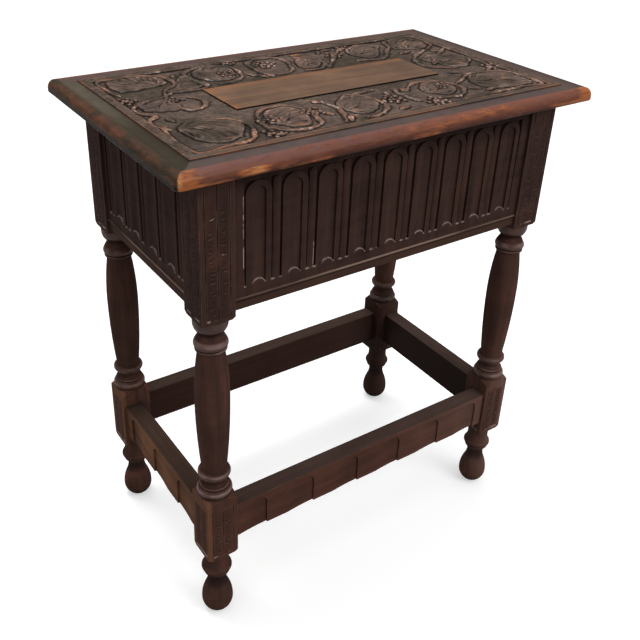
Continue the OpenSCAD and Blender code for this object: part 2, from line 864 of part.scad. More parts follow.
lid();
leg(-1, -1);  // leg_front_left
leg(1, -1);  // leg_front_right
leg(-1, 1);  // leg_back_left
leg(1, 1);  // leg_back_right
front_panel();
back_panel();
left_panel();
right_panel();
front_rail();
back_rail();
left_rail();
right_rail();
bottom_board();
front_stretcher();
back_stretcher();
left_stretcher();
right_stretcher();
hinge_leaf(-1, -1, [0, 2, 4]);  // left_hinge_box_leaf
hinge_leaf(1, -1, [0, 2, 4]);  // right_hinge_box_leaf
hinge_leaf(-1, 1, [1, 3]);  // left_hinge_lid_leaf
hinge_leaf(1, 1, [1, 3]);  // right_hinge_lid_leaf
hinge_pin(-1);  // left_hinge_pin
hinge_pin(1);  // right_hinge_pin
leaf_screws(-1);  // box_leaf_screws
leaf_screws(1);  // lid_leaf_screws
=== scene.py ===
import math
from functools import partial

import bmesh
import bpy
import numpy as np
from bpy.props import FloatProperty, FloatVectorProperty, IntProperty, PointerProperty
from mathutils import Matrix, Vector
from mathutils.geometry import delaunay_2d_cdt


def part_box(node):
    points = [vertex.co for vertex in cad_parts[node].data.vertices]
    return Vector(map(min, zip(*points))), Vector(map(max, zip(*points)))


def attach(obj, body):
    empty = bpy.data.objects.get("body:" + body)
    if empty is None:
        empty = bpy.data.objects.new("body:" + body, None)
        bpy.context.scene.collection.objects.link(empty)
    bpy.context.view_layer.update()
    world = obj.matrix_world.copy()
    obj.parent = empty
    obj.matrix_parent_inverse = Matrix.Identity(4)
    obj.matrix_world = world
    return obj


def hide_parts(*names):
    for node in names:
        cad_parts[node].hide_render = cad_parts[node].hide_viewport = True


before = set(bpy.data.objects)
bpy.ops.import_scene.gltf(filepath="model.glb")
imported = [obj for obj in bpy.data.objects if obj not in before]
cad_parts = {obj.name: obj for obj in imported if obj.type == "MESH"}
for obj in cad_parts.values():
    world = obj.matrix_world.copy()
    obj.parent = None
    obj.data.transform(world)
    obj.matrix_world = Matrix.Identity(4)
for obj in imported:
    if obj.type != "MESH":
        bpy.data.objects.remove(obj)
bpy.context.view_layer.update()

bl_info = {
    "name": "Oak Coffin Table",
    "version": (1, 0, 0),
    "blender": (4, 5, 0),
    "location": "3D Viewport > Sidebar > Coffin Table",
    "description": "Carves and finishes the oak box table and sets it on a pale stage",
    "category": "Object",
}

MM = 0.001


def tone(red, green, blue):
    """A linear colour from the three display values, 0 to 255."""
    shares = [value / 255 for value in (red, green, blue)]
    return tuple(s / 12.92 if s <= 0.04045 else ((s + 0.055) / 1.055) ** 2.4 for s in shares)


def colour(name, description, red, green, blue):
    return FloatVectorProperty(name=name, description=description, subtype="COLOR", size=3,
                               min=0.0, max=1.0, default=tone(red, green, blue))


def length(name, description, millimetres, low=0.0, high=1000.0):
    return FloatProperty(name=name, description=description, unit="LENGTH", subtype="DISTANCE",
                         default=millimetres * MM, min=low * MM, max=high * MM, precision=5)


# Sizes of the packed table that the carving and the finishes go by, in millimetres: heights
# from the floor, and other places from the middle of the table

def high_corner(node):
    """The right, back and upper ends of a node's box."""
    return np.array(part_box(node)[1]) / MM


LID_HALF_X, LID_HALF_Y, TABLE_TOP = high_corner("lid")
BOX_TOP = high_corner("leg_front_left")[2]
RAIL_TOP = high_corner("front_rail")[2]

LID_Z = TABLE_TOP - 18.0  # underside of the lid
BORDER_HEIGHT = 17.0  # of the lid's border above its underside
NOSE_RADIUS = 11.0  # of the lid's rounded edge
MOULDING_WIDTH = 31.0  # nose, hollow and quirk together
BORDER_WIDTH = 41.0  # from the lid's edge to its sunk ground
GROUND_X, GROUND_Y = 261.5, 142.0  # half the length and depth of the sunk ground
POCKET_Z = TABLE_TOP - 3.0  # bottom of the sunk ground, which the carved sheets lie on
TABLET = (-152.5, 158.5, -38.0, 46.0)  # left, right, front and back of the tablet

LEG_X, LEG_Y = 244.0, 134.0  # middles of the legs
HALF_BLOCK = 21.5
POST_Z = BOX_TOP - 182.0  # lower end of the square posts
LOW_BLOCK_Z, LOW_BLOCK_TOP = 115.0, 216.0

# Outer faces of the boards, rails and stretchers: the axis across the face, the face's
# distance from the middle, and the direction in which it looks
FRONT, BACK = (1, 151.5, -1), (1, 151.5, 1)
LEFT, RIGHT = (0, 261.5, -1), (0, 261.5, 1)
BACK_RAIL = (1, 154.5, 1)

# Painted pale highlight lines on worn groove edges of the front board: place from the middle and
# both ends' heights
GLINT_LINES = ((-210.0, 545.0, 596.0), (-210.0, 604.0, 628.0), (-115.6, 524.0, 550.0))


class OakColours(bpy.types.PropertyGroup):
    """Colours of the waxed oak, its wear and its dirt, and of the light and shade painted on it
    """
    lid_oak: colour("Lid oak", "Field and raised carving of the lid", 98, 83, 74)
    lid_ground: colour("Lid ground", "Sunk ground of the carving", 70, 61, 56)
    hollow: colour("Hollow", "Hollow of the lid's moulded edge", 84, 72, 69)
    # Greenish dark tone, also the painted shade on the hollow of the left end
    hollow_dark_and_shade: colour("Dark hollow", "Greenish dark parts of the moulded edge", 50, 46, 37)
    # Painted shade: the hollow of the left end, greener and darker than the right
    shaded_left_hollow: colour("Green hollow", "Hollow along the left end", 84, 77, 65)
    nose: colour("Nose", "Rounded nose of the lid", 113, 70, 55)
    nose_dark: colour("Dark nose", "Dark patches on the nose", 84, 50, 42)
    side_nose: colour("Side nose", "Reddish patches on the lid's end grain", 98, 63, 46)
    # Painted sheen: the sky's mauve reflection on raised and rounded parts
    mauve_sheen: colour("Mauve", "Mauve bloom on raised and rounded parts", 100, 74, 72)
    berry: colour("Berry", "Rubbed tops of the carved berries", 146, 104, 84)
    # Painted highlight: small pale glints on edges, tops and lips
    glint: colour("Glint", "Small pale worn points and lines", 170, 152, 144)
    tablet: colour("Tablet", "Plain tablet in the carving", 88, 71, 61)
    # Pale streaks and wear, also the painted highlight on the carving's lit rims
    pale_streak_and_highlight: colour("Pale tablet", "Pale streaks of the tablet and pale wear", 116, 90, 71)
    worn: colour("Worn oak", "Oak where the stain has worn through", 156, 90, 47)
    # Oak rubbed bare, also the painted highlight beside the lid's corner mitres
    pale_wear_and_highlight: colour("Pale worn oak", "Oak rubbed bare at the lid's corners", 204, 146, 100)
    # Worn arrises, with a painted highlight on them
    worn_edge_highlight: colour("Pale edge", "Thin worn arrises of the dark boards", 158, 132, 118)
    board: colour("Board", "Carved boards of the box", 62, 45, 41)
    # Brown streaks, also the painted light on the boards' steep walls
    board_brown_and_lit: colour("Brown board", "Brown upright streaks of the boards", 74, 50, 38)
    # Also the painted shade in the stretchers' scoops and on their inner faces
    board_deep_and_shade: colour("Deep board", "Bottoms of the hollows and grooves", 44, 31, 28)
    leg: colour("Leg", "Turned legs", 84, 57, 49)
    leg_dark: colour("Dark leg", "Dark streaks and necks of the legs", 54, 39, 34)
    leg_red: colour("Red leg", "Reddish worn patches of the legs", 100, 61, 48)
    # Painted highlight on the upper rounds of the turned rings
    ring_highlight: colour("Pale ring", "Rubbed upper rounds of the turned rings", 138, 112, 108)
    # Painted light on the lower legs and stretchers at the right
    right_side_light: colour("Pale leg", "Dusty lower parts at the right", 122, 94, 84)
    stretcher: colour("Stretcher", "Faces of the stretchers", 94, 61, 50)
    stretcher_brown: colour("Brown stretcher", "Worn face of the left stretcher", 122, 84, 60)
    # Painted lit tone of the tops of the front and right stretchers
    lit_stretcher_top: colour("Stretcher top", "Upper faces of the stretchers", 88, 73, 68)
    # Painted shaded tone of the tops of the left and back stretchers
    shaded_stretcher_top: colour("Dark top", "Dull upper faces of the left and back stretchers", 60, 53, 48)
    rail: colour("Rail", "Beaded rails", 72, 52, 41)
    # Also the painted shade and shadow: in the carving's cuts, under the lid and the nose, under
    # the turnings, and at the back
    dirt_and_shade: colour("Dirt", "Wax and dirt in the corners", 24, 18, 16)
    inner: colour("Inner wood", "Unstained wood inside the box", 128, 96, 66)
    inner_dark: colour("Dark inner wood", "Darkened wood inside the box", 84, 60, 42)
    brass: colour("Brass", "Aged brass of the hinges", 150, 118, 66)
    brass_dark: colour("Tarnish", "Brown tarnish on the brass", 78, 58, 38)


class CarvingSizes(bpy.types.PropertyGroup):
    """Sizes of the vine carving on the lid"""
    grid: length("Grid", "Spacing of the carved surface's points", 0.85, 0.4, 3)
    stem_width: length("Stem width", "Width of the vine stems", 6.0, 3, 12)
    stem_height: length("Stem height", "Height of the stems above the ground", 1.6, 0.5, 2.5)
    leaf_height: length("Leaf height", "Height of the leaves above the ground", 1.35, 0.5, 2.5)
    berry_radius: length("Berry radius", "Radius of one berry", 2.7, 1, 5)
    ground_level: length("Ground level", "Ground above the bottom of the pocket", 0.95, 0.2, 2)
    setting_in: length("Setting in", "Depth of the cut round each raised form", 0.8, 0, 1)
    tool_marks: length("Tool marks", "Height of the tool marks in the ground", 0.35, 0, 1)
    border: length("Border", "Width over which the ground rises to its border", 4.0, 1, 8)


class MarkSizes(bpy.types.PropertyGroup):
    """Sizes of the gouge marks on the posts and lower blocks"""
    pitch: length("Pitch", "Distance from one gouge mark to the next", 5.4, 3, 12)
    width: length("Width", "Width of a column of marks", 12.6, 6, 14)
    rise: length("Rise", "Height of the marked strip above the face", 0.35, 0.1, 0.8)
    bow: length("Bow", "Sag of each mark's curved edge", 2.0, 0, 4)
    grid: length("Grid", "Spacing of the strip's points", 0.6, 0.3, 2)
    seed: IntProperty(name="Seed", description="Seed of the unevenness of the marks", default=11)


class StageSettings(bpy.types.PropertyGroup):
    """Camera, floor and lights"""
    eye: FloatVectorProperty(name="Eye", description="Place of the camera", subtype="TRANSLATION",
                             unit="LENGTH", size=3, default=(-0.6231, -0.8629, 1.0027))
    heading: FloatProperty(name="Heading", description="Turn of the camera towards the right",
                           subtype="ANGLE", default=math.radians(35.024))
    tilt: FloatProperty(name="Tilt", description="Tilt of the camera, downwards",
                        subtype="ANGLE", default=math.radians(29.173))
    roll: FloatProperty(name="Roll", description="Roll of the camera", subtype="ANGLE",
                        default=math.radians(2.16))
    lens: FloatProperty(name="Lens", description="Focal length in millimetres", default=47.652)
    shift_x: FloatProperty(name="Shift X", description="Sideways shift", default=0.0208)
    shift_y: FloatProperty(name="Shift Y", description="Upward shift", default=-0.0791)
    floor: colour("Floor", "Colour of the pale floor", 226, 226, 226)
    bounce: colour("Bounce", "Colour of the floor where its light falls on the table",
                   140, 138, 136)
    sky: FloatProperty(name="Sky", description="Strength of the light from the horizon",
                       default=0.34, min=0.0)
    zenith: FloatProperty(name="Zenith", description="Further strength of the light from above",
                          default=0.62, min=0.0)
    key: FloatProperty(name="Key", description="Power of the lamp overhead in watts",
                       subtype="POWER", default=40.0)
    fill: FloatProperty(name="Fill", description="Power of the lamp in front in watts",
                        subtype="POWER", default=36.0)


# Materials

class Signal:
    """One number that varies over a surface: an output socket of a material"""

    def __init__(self, paint, socket):
        self.paint = paint
        self.socket = socket

    def _math(self, operation, *values):
        settings = {"operation": operation}
        node = self.paint.node("Math", settings, dict(enumerate(values)))
        return Signal(self.paint, node.outputs[0])

    def __add__(self, other):
        return self._math("ADD", self, other)

    def __radd__(self, other):
        return self._math("ADD", other, self)

    def __sub__(self, other):
        return self._math("SUBTRACT", self, other)

    def __rsub__(self, other):
        return self._math("SUBTRACT", other, self)

    def __mul__(self, other):
        return self._math("MULTIPLY", self, other)

    def __rmul__(self, other):
        return self._math("MULTIPLY", other, self)

    def __truediv__(self, other):
        return self._math("DIVIDE", self, other)

    def __pow__(self, other):
        return self._math("POWER", self, other)

    def __abs__(self):
        return self._math("ABSOLUTE", self)

    def least(self, other):
        return self._math("MINIMUM", self, other)

    def most(self, other):
        return self._math("MAXIMUM", self, other)

    def rise(self, low, high):
        """0 below low, 1 above high, and smooth in between."""
        settings = {"interpolation_type": "SMOOTHSTEP"}
        values = {"Value": self, "From Min": low, "From Max": high}
        node = self.paint.node("MapRange", settings, values)
        return Signal(self.paint, node.outputs["Result"])

    def fall(self, low, high):
        """1 below low, 0 above high, and smooth in between."""
        return 1 - self.rise(low, high)

    def band(self, low, high, soft):
        """1 between low and high, with soft edges."""
        return self.rise(low - soft, low) * self.fall(high, high + soft)


class Paint:
    """Builds the nodes of one material, or of the world"""

    def __init__(self, name, world=None):
        self.material = world or bpy.data.materials.new(name)
        self.material.use_nodes = True
        self.tree = self.material.node_tree
        self.tree.nodes.clear()
        self.place = self.node("TexCoord").outputs["Generated" if world else "Object"]
        self.x, self.y, self.z = self.axes = self.parts(self.scaled(1 / MM))

    def node(self, kind, settings=None, values=None):
        """Adds a node of that type, with its settings and then its sockets' values or links."""
        node = self.tree.nodes.new("ShaderNode" + kind)
        for key, value in (settings or {}).items():
            setattr(node, key, value)
        for key, value in (values or {}).items():
            if isinstance(value, Signal):
                value = value.socket
            if isinstance(value, bpy.types.NodeSocket):
                self.tree.links.new(value, node.inputs[key])
            else:
                node.inputs[key].default_value = value
        return node

    def parts(self, vector):
        """The x, y and z of a vector, as three numbers."""
        split = self.node("SeparateXYZ", {}, {0: vector})
        return [Signal(self, socket) for socket in split.outputs]

    def scaled(self, factors):
        """The object's own coordinates, stretched by one factor or by one for each axis."""
        if isinstance(factors, float):
            factors = (factors,) * 3
        node = self.node("VectorMath", {"operation": "MULTIPLY"}, {0: self.place, 1: factors})
        return node.outputs[0]

    def noise(self, scales, detail=3.0, roughness=0.55):
        """Cloudy noise from 0 to 1, with that many lumps to the metre."""
        values = {"Vector": self.scaled(scales), "Scale": 1.0, "Detail": detail,
                  "Roughness": roughness}
        return Signal(self, self.node("TexNoise", {}, values).outputs[0])

    def attribute(self, name):
        node = self.node("Attribute", {"attribute_name": name})
        return Signal(self, node.outputs["Fac"])

    def depth(self, side):
        """How far a place lies behind the outer face of a board or stretcher."""
        axis, face, sign = side
        return face - self.axes[axis] * sign

    def normal_part(self, axis):
        """One part of the piece's own normal, as at rest: 0 for x, 1 for y, 2 for z."""
        return self.parts(self.node("TexCoord").outputs["Normal"])[axis]

    def rounded(self, radius):
        """The normal that the surface would have with its edges rounded."""
        return self.node("Bevel", {"samples": 6}, {"Radius": radius * MM}).outputs[0]

    def level_edges(self, radius):
        """Up to 1 near edges where a face that looks up begins, on an upright surface."""
        return self.parts(self.rounded(radius))[2].rise(0.12, 0.4)

    def edges(self, radius):
        """Up to about 1 within that radius, in millimetres, of a sharp edge."""
        normals = {0: self.rounded(radius), 1: self.node("NewGeometry").outputs["Normal"]}
        dot = self.node("VectorMath", {"operation": "DOT_PRODUCT"}, normals)
        return ((1 - Signal(self, dot.outputs["Value"])) * 4.0).least(1.0)

    def mix(self, factor, first, second):
        """first where the factor is 0, second where it is 1."""
        values = {0: factor, 6: rgba(first), 7: rgba(second)}
        node = self.node("Mix", {"data_type": "RGBA", "clamp_factor": True}, values)
        return node.outputs[2]

    def shaded(self, factor, base):
        """A colour made darker or lighter by a factor."""
        spread = self.node("CombineXYZ", {}, {0: factor, 1: factor, 2: factor}).outputs[0]
        node = self.node("VectorMath", {"operation": "MULTIPLY"}, {0: base, 1: spread})
        return node.outputs[0]

    def finish(self, base, roughness, height, metallic=0.0, shine=0.0, coat=0.04):
        """Closes the material. height is a relief in millimetres."""
        bump = self.node("Bump", {}, {"Height": height, "Distance": MM, "Strength": 1.0})
        values = {"Base Color": base, "Roughness": roughness, "Metallic": metallic,
                  "Specular IOR Level": shine, "Coat Weight": coat, "Coat Roughness": 0.3,
                  "Normal": bump.outputs[0]}
        shader = self.node("BsdfPrincipled", {}, values)
        self.node("OutputMaterial", {}, {0: shader.outputs[0]})
        return self.material


def rgba(value):
    if isinstance(value, bpy.types.NodeSocket):
        return value
    return (*value, 1.0)


def along(axis, slow, fast):
    """Noise scales for a grain that runs along an axis."""
    scales = [fast, fast, fast]
    scales[axis] = slow
    return tuple(scales)


class Grain:
    """Oak figure along one axis: broad streaks, fine pores and soft mottling"""

    def __init__(self, paint, axis):
        self.paint = paint
        self.streak = paint.noise(along(axis, 5.0, 95.0), 4.0, 0.6)
        self.fine = paint.noise(along(axis, 28.0, 620.0), 3.0, 0.6)
        self.mottle = paint.noise(14.0, 4.0, 0.6)
        self.patch = paint.noise(46.0)
        self.pores = self.fine.rise(0.60, 0.72)
        self.tint = self.streak * 0.55 + self.mottle * 0.45
        self.height = self.streak * 0.12 - self.pores * 0.06 + self.fine * 0.03

    def figured(self, base, level=0.76, spread=0.48, pores=0.12):
        """A colour with the light and dark of the grain in it."""
        return self.paint.shaded(level + self.tint * spread - self.pores * pores, base)

    def bare_wood(self):
        c = colours()
        return self.paint.mix(self.tint, c.inner_dark, c.inner)


def colours():
    return bpy.context.scene.table_colours


def started(name, axis):
    """The colours, a new material and its grain along an axis."""
    paint = Paint(name)
    return colours(), paint, Grain(paint, axis)


def dress(material, *names):
    """Gives carried-over CAD nodes a finish."""
    for name in names:
        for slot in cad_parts[name].material_slots:
            slot.material = material


# Carved height maps

def spline(points, step):
    """Evenly spaced points of a smooth curve through the given points."""
    knots = np.array(points, float)
    knots = np.vstack([2 * knots[0] - knots[1], knots, 2 * knots[-1] - knots[-2]])
    parts = []
    for a, b, c, d in zip(knots[:-3], knots[1:-2], knots[2:-1], knots[3:]):
        count = max(2, int(np.linalg.norm(c - b) / step))
        t = np.linspace(0, 1, count, endpoint=False)[:, None]
        parts.append(0.5 * (2 * b + (c - a) * t + (2 * a - 5 * b + 4 * c - d) * t ** 2
                            + (3 * b - a - 3 * c + d) * t ** 3))
    parts.append(knots[-2:-1])
    return np.vstack(parts)


def smooth(value, low, high):
    share = np.clip((value - low) / (high - low), 0, 1)
    return share * share * (3 - 2 * share)


def lattice_noise(x, y, size, seed):
    """Smooth noise from 0 to 1 whose lumps are about size wide."""
    grid = np.random.default_rng(seed).random((96, 96))
    u, v = x / size + 40, y / size + 40
    i, j = np.floor(u).astype(int), np.floor(v).astype(int)
    s, t = smooth(u - i, 0, 1), smooth(v - j, 0, 1)
    i, j = i % 95, j % 95
    low = grid[j, i] * (1 - s) + grid[j, i + 1] * s
    high = grid[j + 1, i] * (1 - s) + grid[j + 1, i + 1] * s
    return low * (1 - t) + high * t


def breaks(*stops, step):
    """Grid lines that pass through every stop, at most a step apart."""
    lines = [np.array([stops[0]], float)]
    for a, b in zip(stops[:-1], stops[1:]):
        lines.append(np.linspace(a, b, max(1, math.ceil((b - a) / step)) + 1)[1:])
    return np.concatenate(lines)


def blurred(field, reach):
    """Mean of a field over a square of 2 reach + 1 points, done twice."""
    for axis in (0, 1, 0, 1):
        pad = [(0, 0), (0, 0)]
        pad[axis] = (reach + 1, reach)
        total = np.cumsum(np.pad(field, pad, mode="edge"), axis=axis)
        count = field.shape[axis]
        ends = np.take(total, np.arange(2 * reach + 1, 2 * reach + 1 + count), axis=axis)
        starts = np.take(total, np.arange(count), axis=axis)
        field = (ends - starts) / (2 * reach + 1)
    return field


class Relief:
    """Raised forms over a flat ground, as a height map in millimetres"""

    def __init__(self, xs, ys):
        self.xs, self.ys = xs, ys
        self.x, self.y = np.meshgrid(xs, ys)
        waver_x = 2.6 * (lattice_noise(self.x, self.y, 11, 21) - 0.5)
        waver_y = 2.6 * (lattice_noise(self.x, self.y, 11, 22) - 0.5)
        waver_x += 1.3 * (lattice_noise(self.x, self.y, 4.5, 23) - 0.5)
        waver_y += 1.3 * (lattice_noise(self.x, self.y, 4.5, 24) - 0.5)
        self.x, self.y = self.x + waver_x, self.y + waver_y
        self.raised = np.zeros_like(self.x)
        self.apart = np.full_like(self.x, 20.0)
        self.worn = np.zeros_like(self.x)
        self.berry = np.zeros_like(self.x)

    def near(self, x, y, reach):
        """The part of the grid within reach of a point."""
        columns = np.searchsorted(self.xs, (x - reach, x + reach))
        rows = np.searchsorted(self.ys, (y - reach, y + reach))
        return slice(*rows), slice(*columns)

    def add(self, part, height, distance, worn):
        """Raises a form. distance is measured outwards from its rim."""
        taller = height > self.raised[part]
        self.worn[part] = np.where(taller, worn, self.worn[part])
        self.raised[part] = np.maximum(self.raised[part], height)
        self.apart[part] = np.minimum(self.apart[part], distance)

    def stem(self, points, width, height, worn):
        """Round vine stem along a smooth path, uneven in width and higher on one side."""
        path = spline(points, 0.8)
        share = np.linspace(0, 1, len(path))
        swell = np.interp(share, (0, 0.25, 0.7, 1), (0.75, 1, 1, 0.6))
        swell *= 1 + 0.28 * np.sin(path[:, 0] / 7.3 + path[:, 1] / 9.1)
        for (px, py), half in zip(path, swell * width / 2):
            part = self.near(px, py, half + 3)
            dx, dy = self.x[part] - px, self.y[part] - py
            d = np.hypot(dx, dy)
            lean = 1 + 0.22 * np.clip((dx + 2 * dy) / (2 * half), -1, 1)
            rise = height * lean * np.clip(1 - (d / half) ** 2, 0, 1) ** 0.45
            self.add(part, rise, d - half, worn)

    def leaf(self, outline, height, scallops, veins, worn):
        """Broad leaf with a scalloped rim, folds, and veins that fan out from its first point."""
        path = spline(outline + outline[:1], 0.7)
        share = np.linspace(0, 1, len(path))
        middle = path.mean(axis=0)
        outward = path - middle
        outward /= np.linalg.norm(outward, axis=1)[:, None]
        teeth = 2.2 * np.abs(np.sin(math.pi * scallops * share)) - 0.9
        teeth += 1.6 * np.sin(2 * math.pi * (veins * share + 0.13 * scallops))
        path = path + outward * teeth[:, None]
        back_side = np.clip(outward @ (0.45, 0.89) + 0.25, 0, 1)
        path = path + outward * (6.0 * back_side)[:, None]

        part = self.near(*middle, np.abs(path - middle).max() + 4)
        x, y = self.x[part], self.y[part]
        away = np.full_like(x, 1e6)
        inside = np.zeros(x.shape, bool)
        for (ax, ay), (bx, by) in zip(path, np.roll(path, -1, axis=0)):
            away = np.minimum(away, (x - ax) ** 2 + (y - ay) ** 2)
            if ay != by:
                inside ^= ((ay > y) != (by > y)) & (x < ax + (bx - ax) * (y - ay) / (by - ay))
        away = np.sqrt(away)

        foot_x, foot_y = outline[0]
        ahead = math.atan2(middle[1] - foot_y, middle[0] - foot_x)
        turn = np.arctan2(y - foot_y, x - foot_x) - ahead
        reach = np.hypot(x - foot_x, y - foot_y)
        body = height * (0.78 * smooth(away, 0, 1.6) + 0.22 * smooth(away, 0, 12))
        fan = np.abs(np.sin(turn * veins + 0.25 * np.sin(reach / 9))) * reach / veins
        body -= 0.55 * np.exp(-(fan / 0.8) ** 2) * smooth(away, 1.5, 5) * smooth(reach, 3, 9)
        ribs = np.sin(turn * veins * 3 + 0.9 * np.sin(reach / 6))
        uneven = 2.5 * lattice_noise(x, y, 16, 31)
        folds = np.sin(reach / 5.5 + 1.6 * np.sin(turn * veins) + uneven)
        body += (0.25 * np.sin(turn * veins) + 0.24 * ribs + 0.38 * folds) * smooth(away, 1, 6)
        body += 0.16 * np.sin(turn * veins * 9 + reach / 3.2) * smooth(away, 1.5, 4)
        self.add(part, np.where(inside, body, 0), np.where(inside, -away, away), worn)

    def blade(self, x, y, turn, size, width, height, worn):
        """Small pointed leaf or bud from x, y along a direction, with a middle vein."""
        part = self.near(x, y, size + 2)
        dx, dy = self.x[part] - x, self.y[part] - y
        c, s = math.cos(math.radians(turn)), math.sin(math.radians(turn))
        u, v = dx * c + dy * s, dy * c - dx * s
        share = np.clip(u / size, 0, 1)
        half = width / 2 * np.sin(math.pi * share ** 0.75) ** 0.8 + 0.01
        inside = half - np.abs(v)
        inside = np.where((u < 0) | (u > size), -np.hypot(np.minimum(u, size - u), v), inside)
        body = height * smooth(inside, 0, width * 0.3)
        body -= 0.5 * np.exp(-(v / 0.7) ** 2) * smooth(inside, 0.8, 2)
        self.add(part, body, -inside, worn)

    def berries(self, x, y, count, radius, height):
        """Bunch of round berries, packed as seeds are in a flower head."""
        for k in range(count):
            out, turn = radius * 1.65 * math.sqrt(k), math.radians(137.5 * k + 20)
            bx, by = x + out * math.cos(turn), y + out * math.sin(turn)
            part = self.near(bx, by, radius + 2)
            d = np.hypot(self.x[part] - bx, self.y[part] - by)
            ball = height * np.sqrt(np.clip(1 - (d / radius) ** 2, 0, 1))
            self.add(part, ball, d - radius, 0.2)
            self.berry[part] = np.maximum(self.berry[part], np.clip(1.4 - d / radius, 0, 1))


def closed_sheet(name, xs, ys, heights, keep, bottom, place, fields):
    """Mesh object of a height map over the kept cells, with side walls and a flat bottom.
    place turns grid coordinates and heights in millimetres into points of the table."""
    rows, columns = keep.shape
    index = np.arange(len(xs) * len(ys)).reshape(len(ys), len(xs))
    j, i = np.nonzero(keep)
    cells = np.stack([index[j, i], index[j, i + 1], index[j + 1, i + 1], index[j + 1, i]], 1)
    padded = np.pad(keep, 1)
    walls = []
    for dj, di, first, second in ((-1, 0, 0, 1), (0, 1, 1, 2), (1, 0, 2, 3), (0, -1, 3, 0)):
        open_side = ~padded[1 + dj:rows + 1 + dj, 1 + di:columns + 1 + di][j, i]
        walls.append(cells[open_side][:, [first, second]])
    walls = np.concatenate(walls)
    used = np.unique(cells)
    renamed = np.full(index.size, -1)
    renamed[used] = np.arange(len(used))
    rim = np.unique(walls)
    below = np.full(index.size, -1)
    below[rim] = len(used) + np.arange(len(rim))
    gx, gy = np.meshgrid(xs, ys)
    gx, gy, gz = gx.ravel(), gy.ravel(), heights.ravel()
    top = place(gx[used], gy[used], gz[used])
    low = place(gx[rim], gy[rim], np.full(len(rim), float(bottom)))
    side = np.stack([renamed[walls[:, 1]], renamed[walls[:, 0]], below[walls[:, 0]],
                     below[walls[:, 1]]], 1)
    flat = [Vector(p) for p in zip(gx[rim], gy[rim])]
    order = {n: k for k, n in enumerate(rim)}
    edges = [(order[a], order[b]) for a, b in walls]
    result = delaunay_2d_cdt(flat, edges, [], 0, 1e-6)
    under = []
    for face in result[2]:
        corners = [result[3][c][0] for c in face]
        cx = sum(flat[c].x for c in corners) / 3
        cy = sum(flat[c].y for c in corners) / 3
        row = min(max(np.searchsorted(ys, cy) - 1, 0), rows - 1)
        column = min(max(np.searchsorted(xs, cx) - 1, 0), columns - 1)
        if keep[row, column]:
            under.append([len(used) + c for c in reversed(corners)])
    faces = renamed[cells].tolist() + side.tolist() + under
    mesh = bpy.data.meshes.new(name)
    mesh.from_pydata((np.vstack([top, low]) * MM).tolist(), [], faces)
    smooth_faces = np.zeros(len(faces), bool)
    smooth_faces[:len(cells)] = True
    mesh.polygons.foreach_set("use_smooth", smooth_faces)
    for field, values in fields.items():
        layer = mesh.attributes.new(field, "FLOAT", "POINT")
        data = np.concatenate([values.ravel()[used], np.zeros(len(rim))])
        layer.data.foreach_set("value", data.astype(np.float32))
    thing = bpy.data.objects.new(name, mesh)
    bpy.context.scene.collection.objects.link(thing)
    return thing, used


# The vine on the lid. Each stem has its wear and a list of places on the lid, in
# millimetres from its middle: x to the right and y to the back.
STEMS = (
    (0.8, ((-202, 44), (-196, 62), (-182, 76), (-171, 86), (-168, 102), (-175, 122), (-196, 136),
     (-230, 138), (-253, 135), (-256, 98), (-250, 70))),
    (0.3, ((-202, 46), (-186, 54), (-160, 52), (-144, 54), (-137, 64), (-143, 94), (-141, 120),
     (-122, 134), (-98, 138), (-80, 130), (-71, 113), (-73, 90), (-84, 70), (-103, 60),
     (-121, 60))),
    (0.3, ((-43, 60), (-48, 94), (-46, 120), (-30, 135), (-9, 137), (7, 128), (11, 110), (2, 86),
     (-5, 70), (-21, 60), (-34, 61))),
    (0.3, ((11, 60), (34, 58), (52, 74), (54, 98), (43, 114), (28, 122))),
    (0.3, ((48, 58), (66, 78), (84, 98), (107, 122), (118, 136))),
    (0.3, ((102, 66), (129, 58), (152, 66), (169, 86), (190, 106), (197, 128), (220, 136),
     (255, 137), (257, 108), (252, 86), (232, 70))),
    (0.3, ((224, 66), (195, 51), (174, 28), (170, 1), (184, -17), (206, -24))),
    (0.35, ((160, -134), (216, -131), (254, -135), (257, -99), (253, -72), (228, -58), (195, -57),
     (169, -72), (150, -82))),
    (0.95, ((-248, -52), (-256, -62), (-256, -134), (-221, -135), (-189, -131), (-171, -110),
     (-166, -90), (-173, -67), (-193, -49))),
    (0.35, ((-152, -118), (-150, -92), (-143, -68), (-125, -50), (-98, -50), (-82, -68),
     (-82, -96), (-92, -122), (-116, -130), (-138, -122), (-152, -104))),
    (0.3, ((-48, -60), (-44, -88), (-50, -108), (-62, -132))),
    (0.5, ((-30, -72), (-7, -53), (11, -70), (17, -90), (11, -112), (-10, -130), (-32, -131))),
    (0.3, ((-18, -88), (-12, -74), (7, -54), (36, -51))),
    (0.3, ((61, -62), (57, -88), (61, -114))),
    (0.5, ((76, -74), (90, -60), (107, -53), (134, -62), (147, -88), (138, -112), (118, -122),
     (100, -118))),
    (0.6, ((-202, 46), (-230, 38), (-252, 24), (-256, 6), (-243, -12), (-255, -24), (-259, -44),
     (-248, -62))),
    (0.2, ((-203, 42), (-209, 12), (-198, -12), (-180, -9), (-170, 12), (-180, 30))),
    (0.3, ((256, 60), (240, 50), (226, 40), (214, 34))),
    (0.3, ((258, 10), (256, -22), (248, -44), (232, -56))),
)

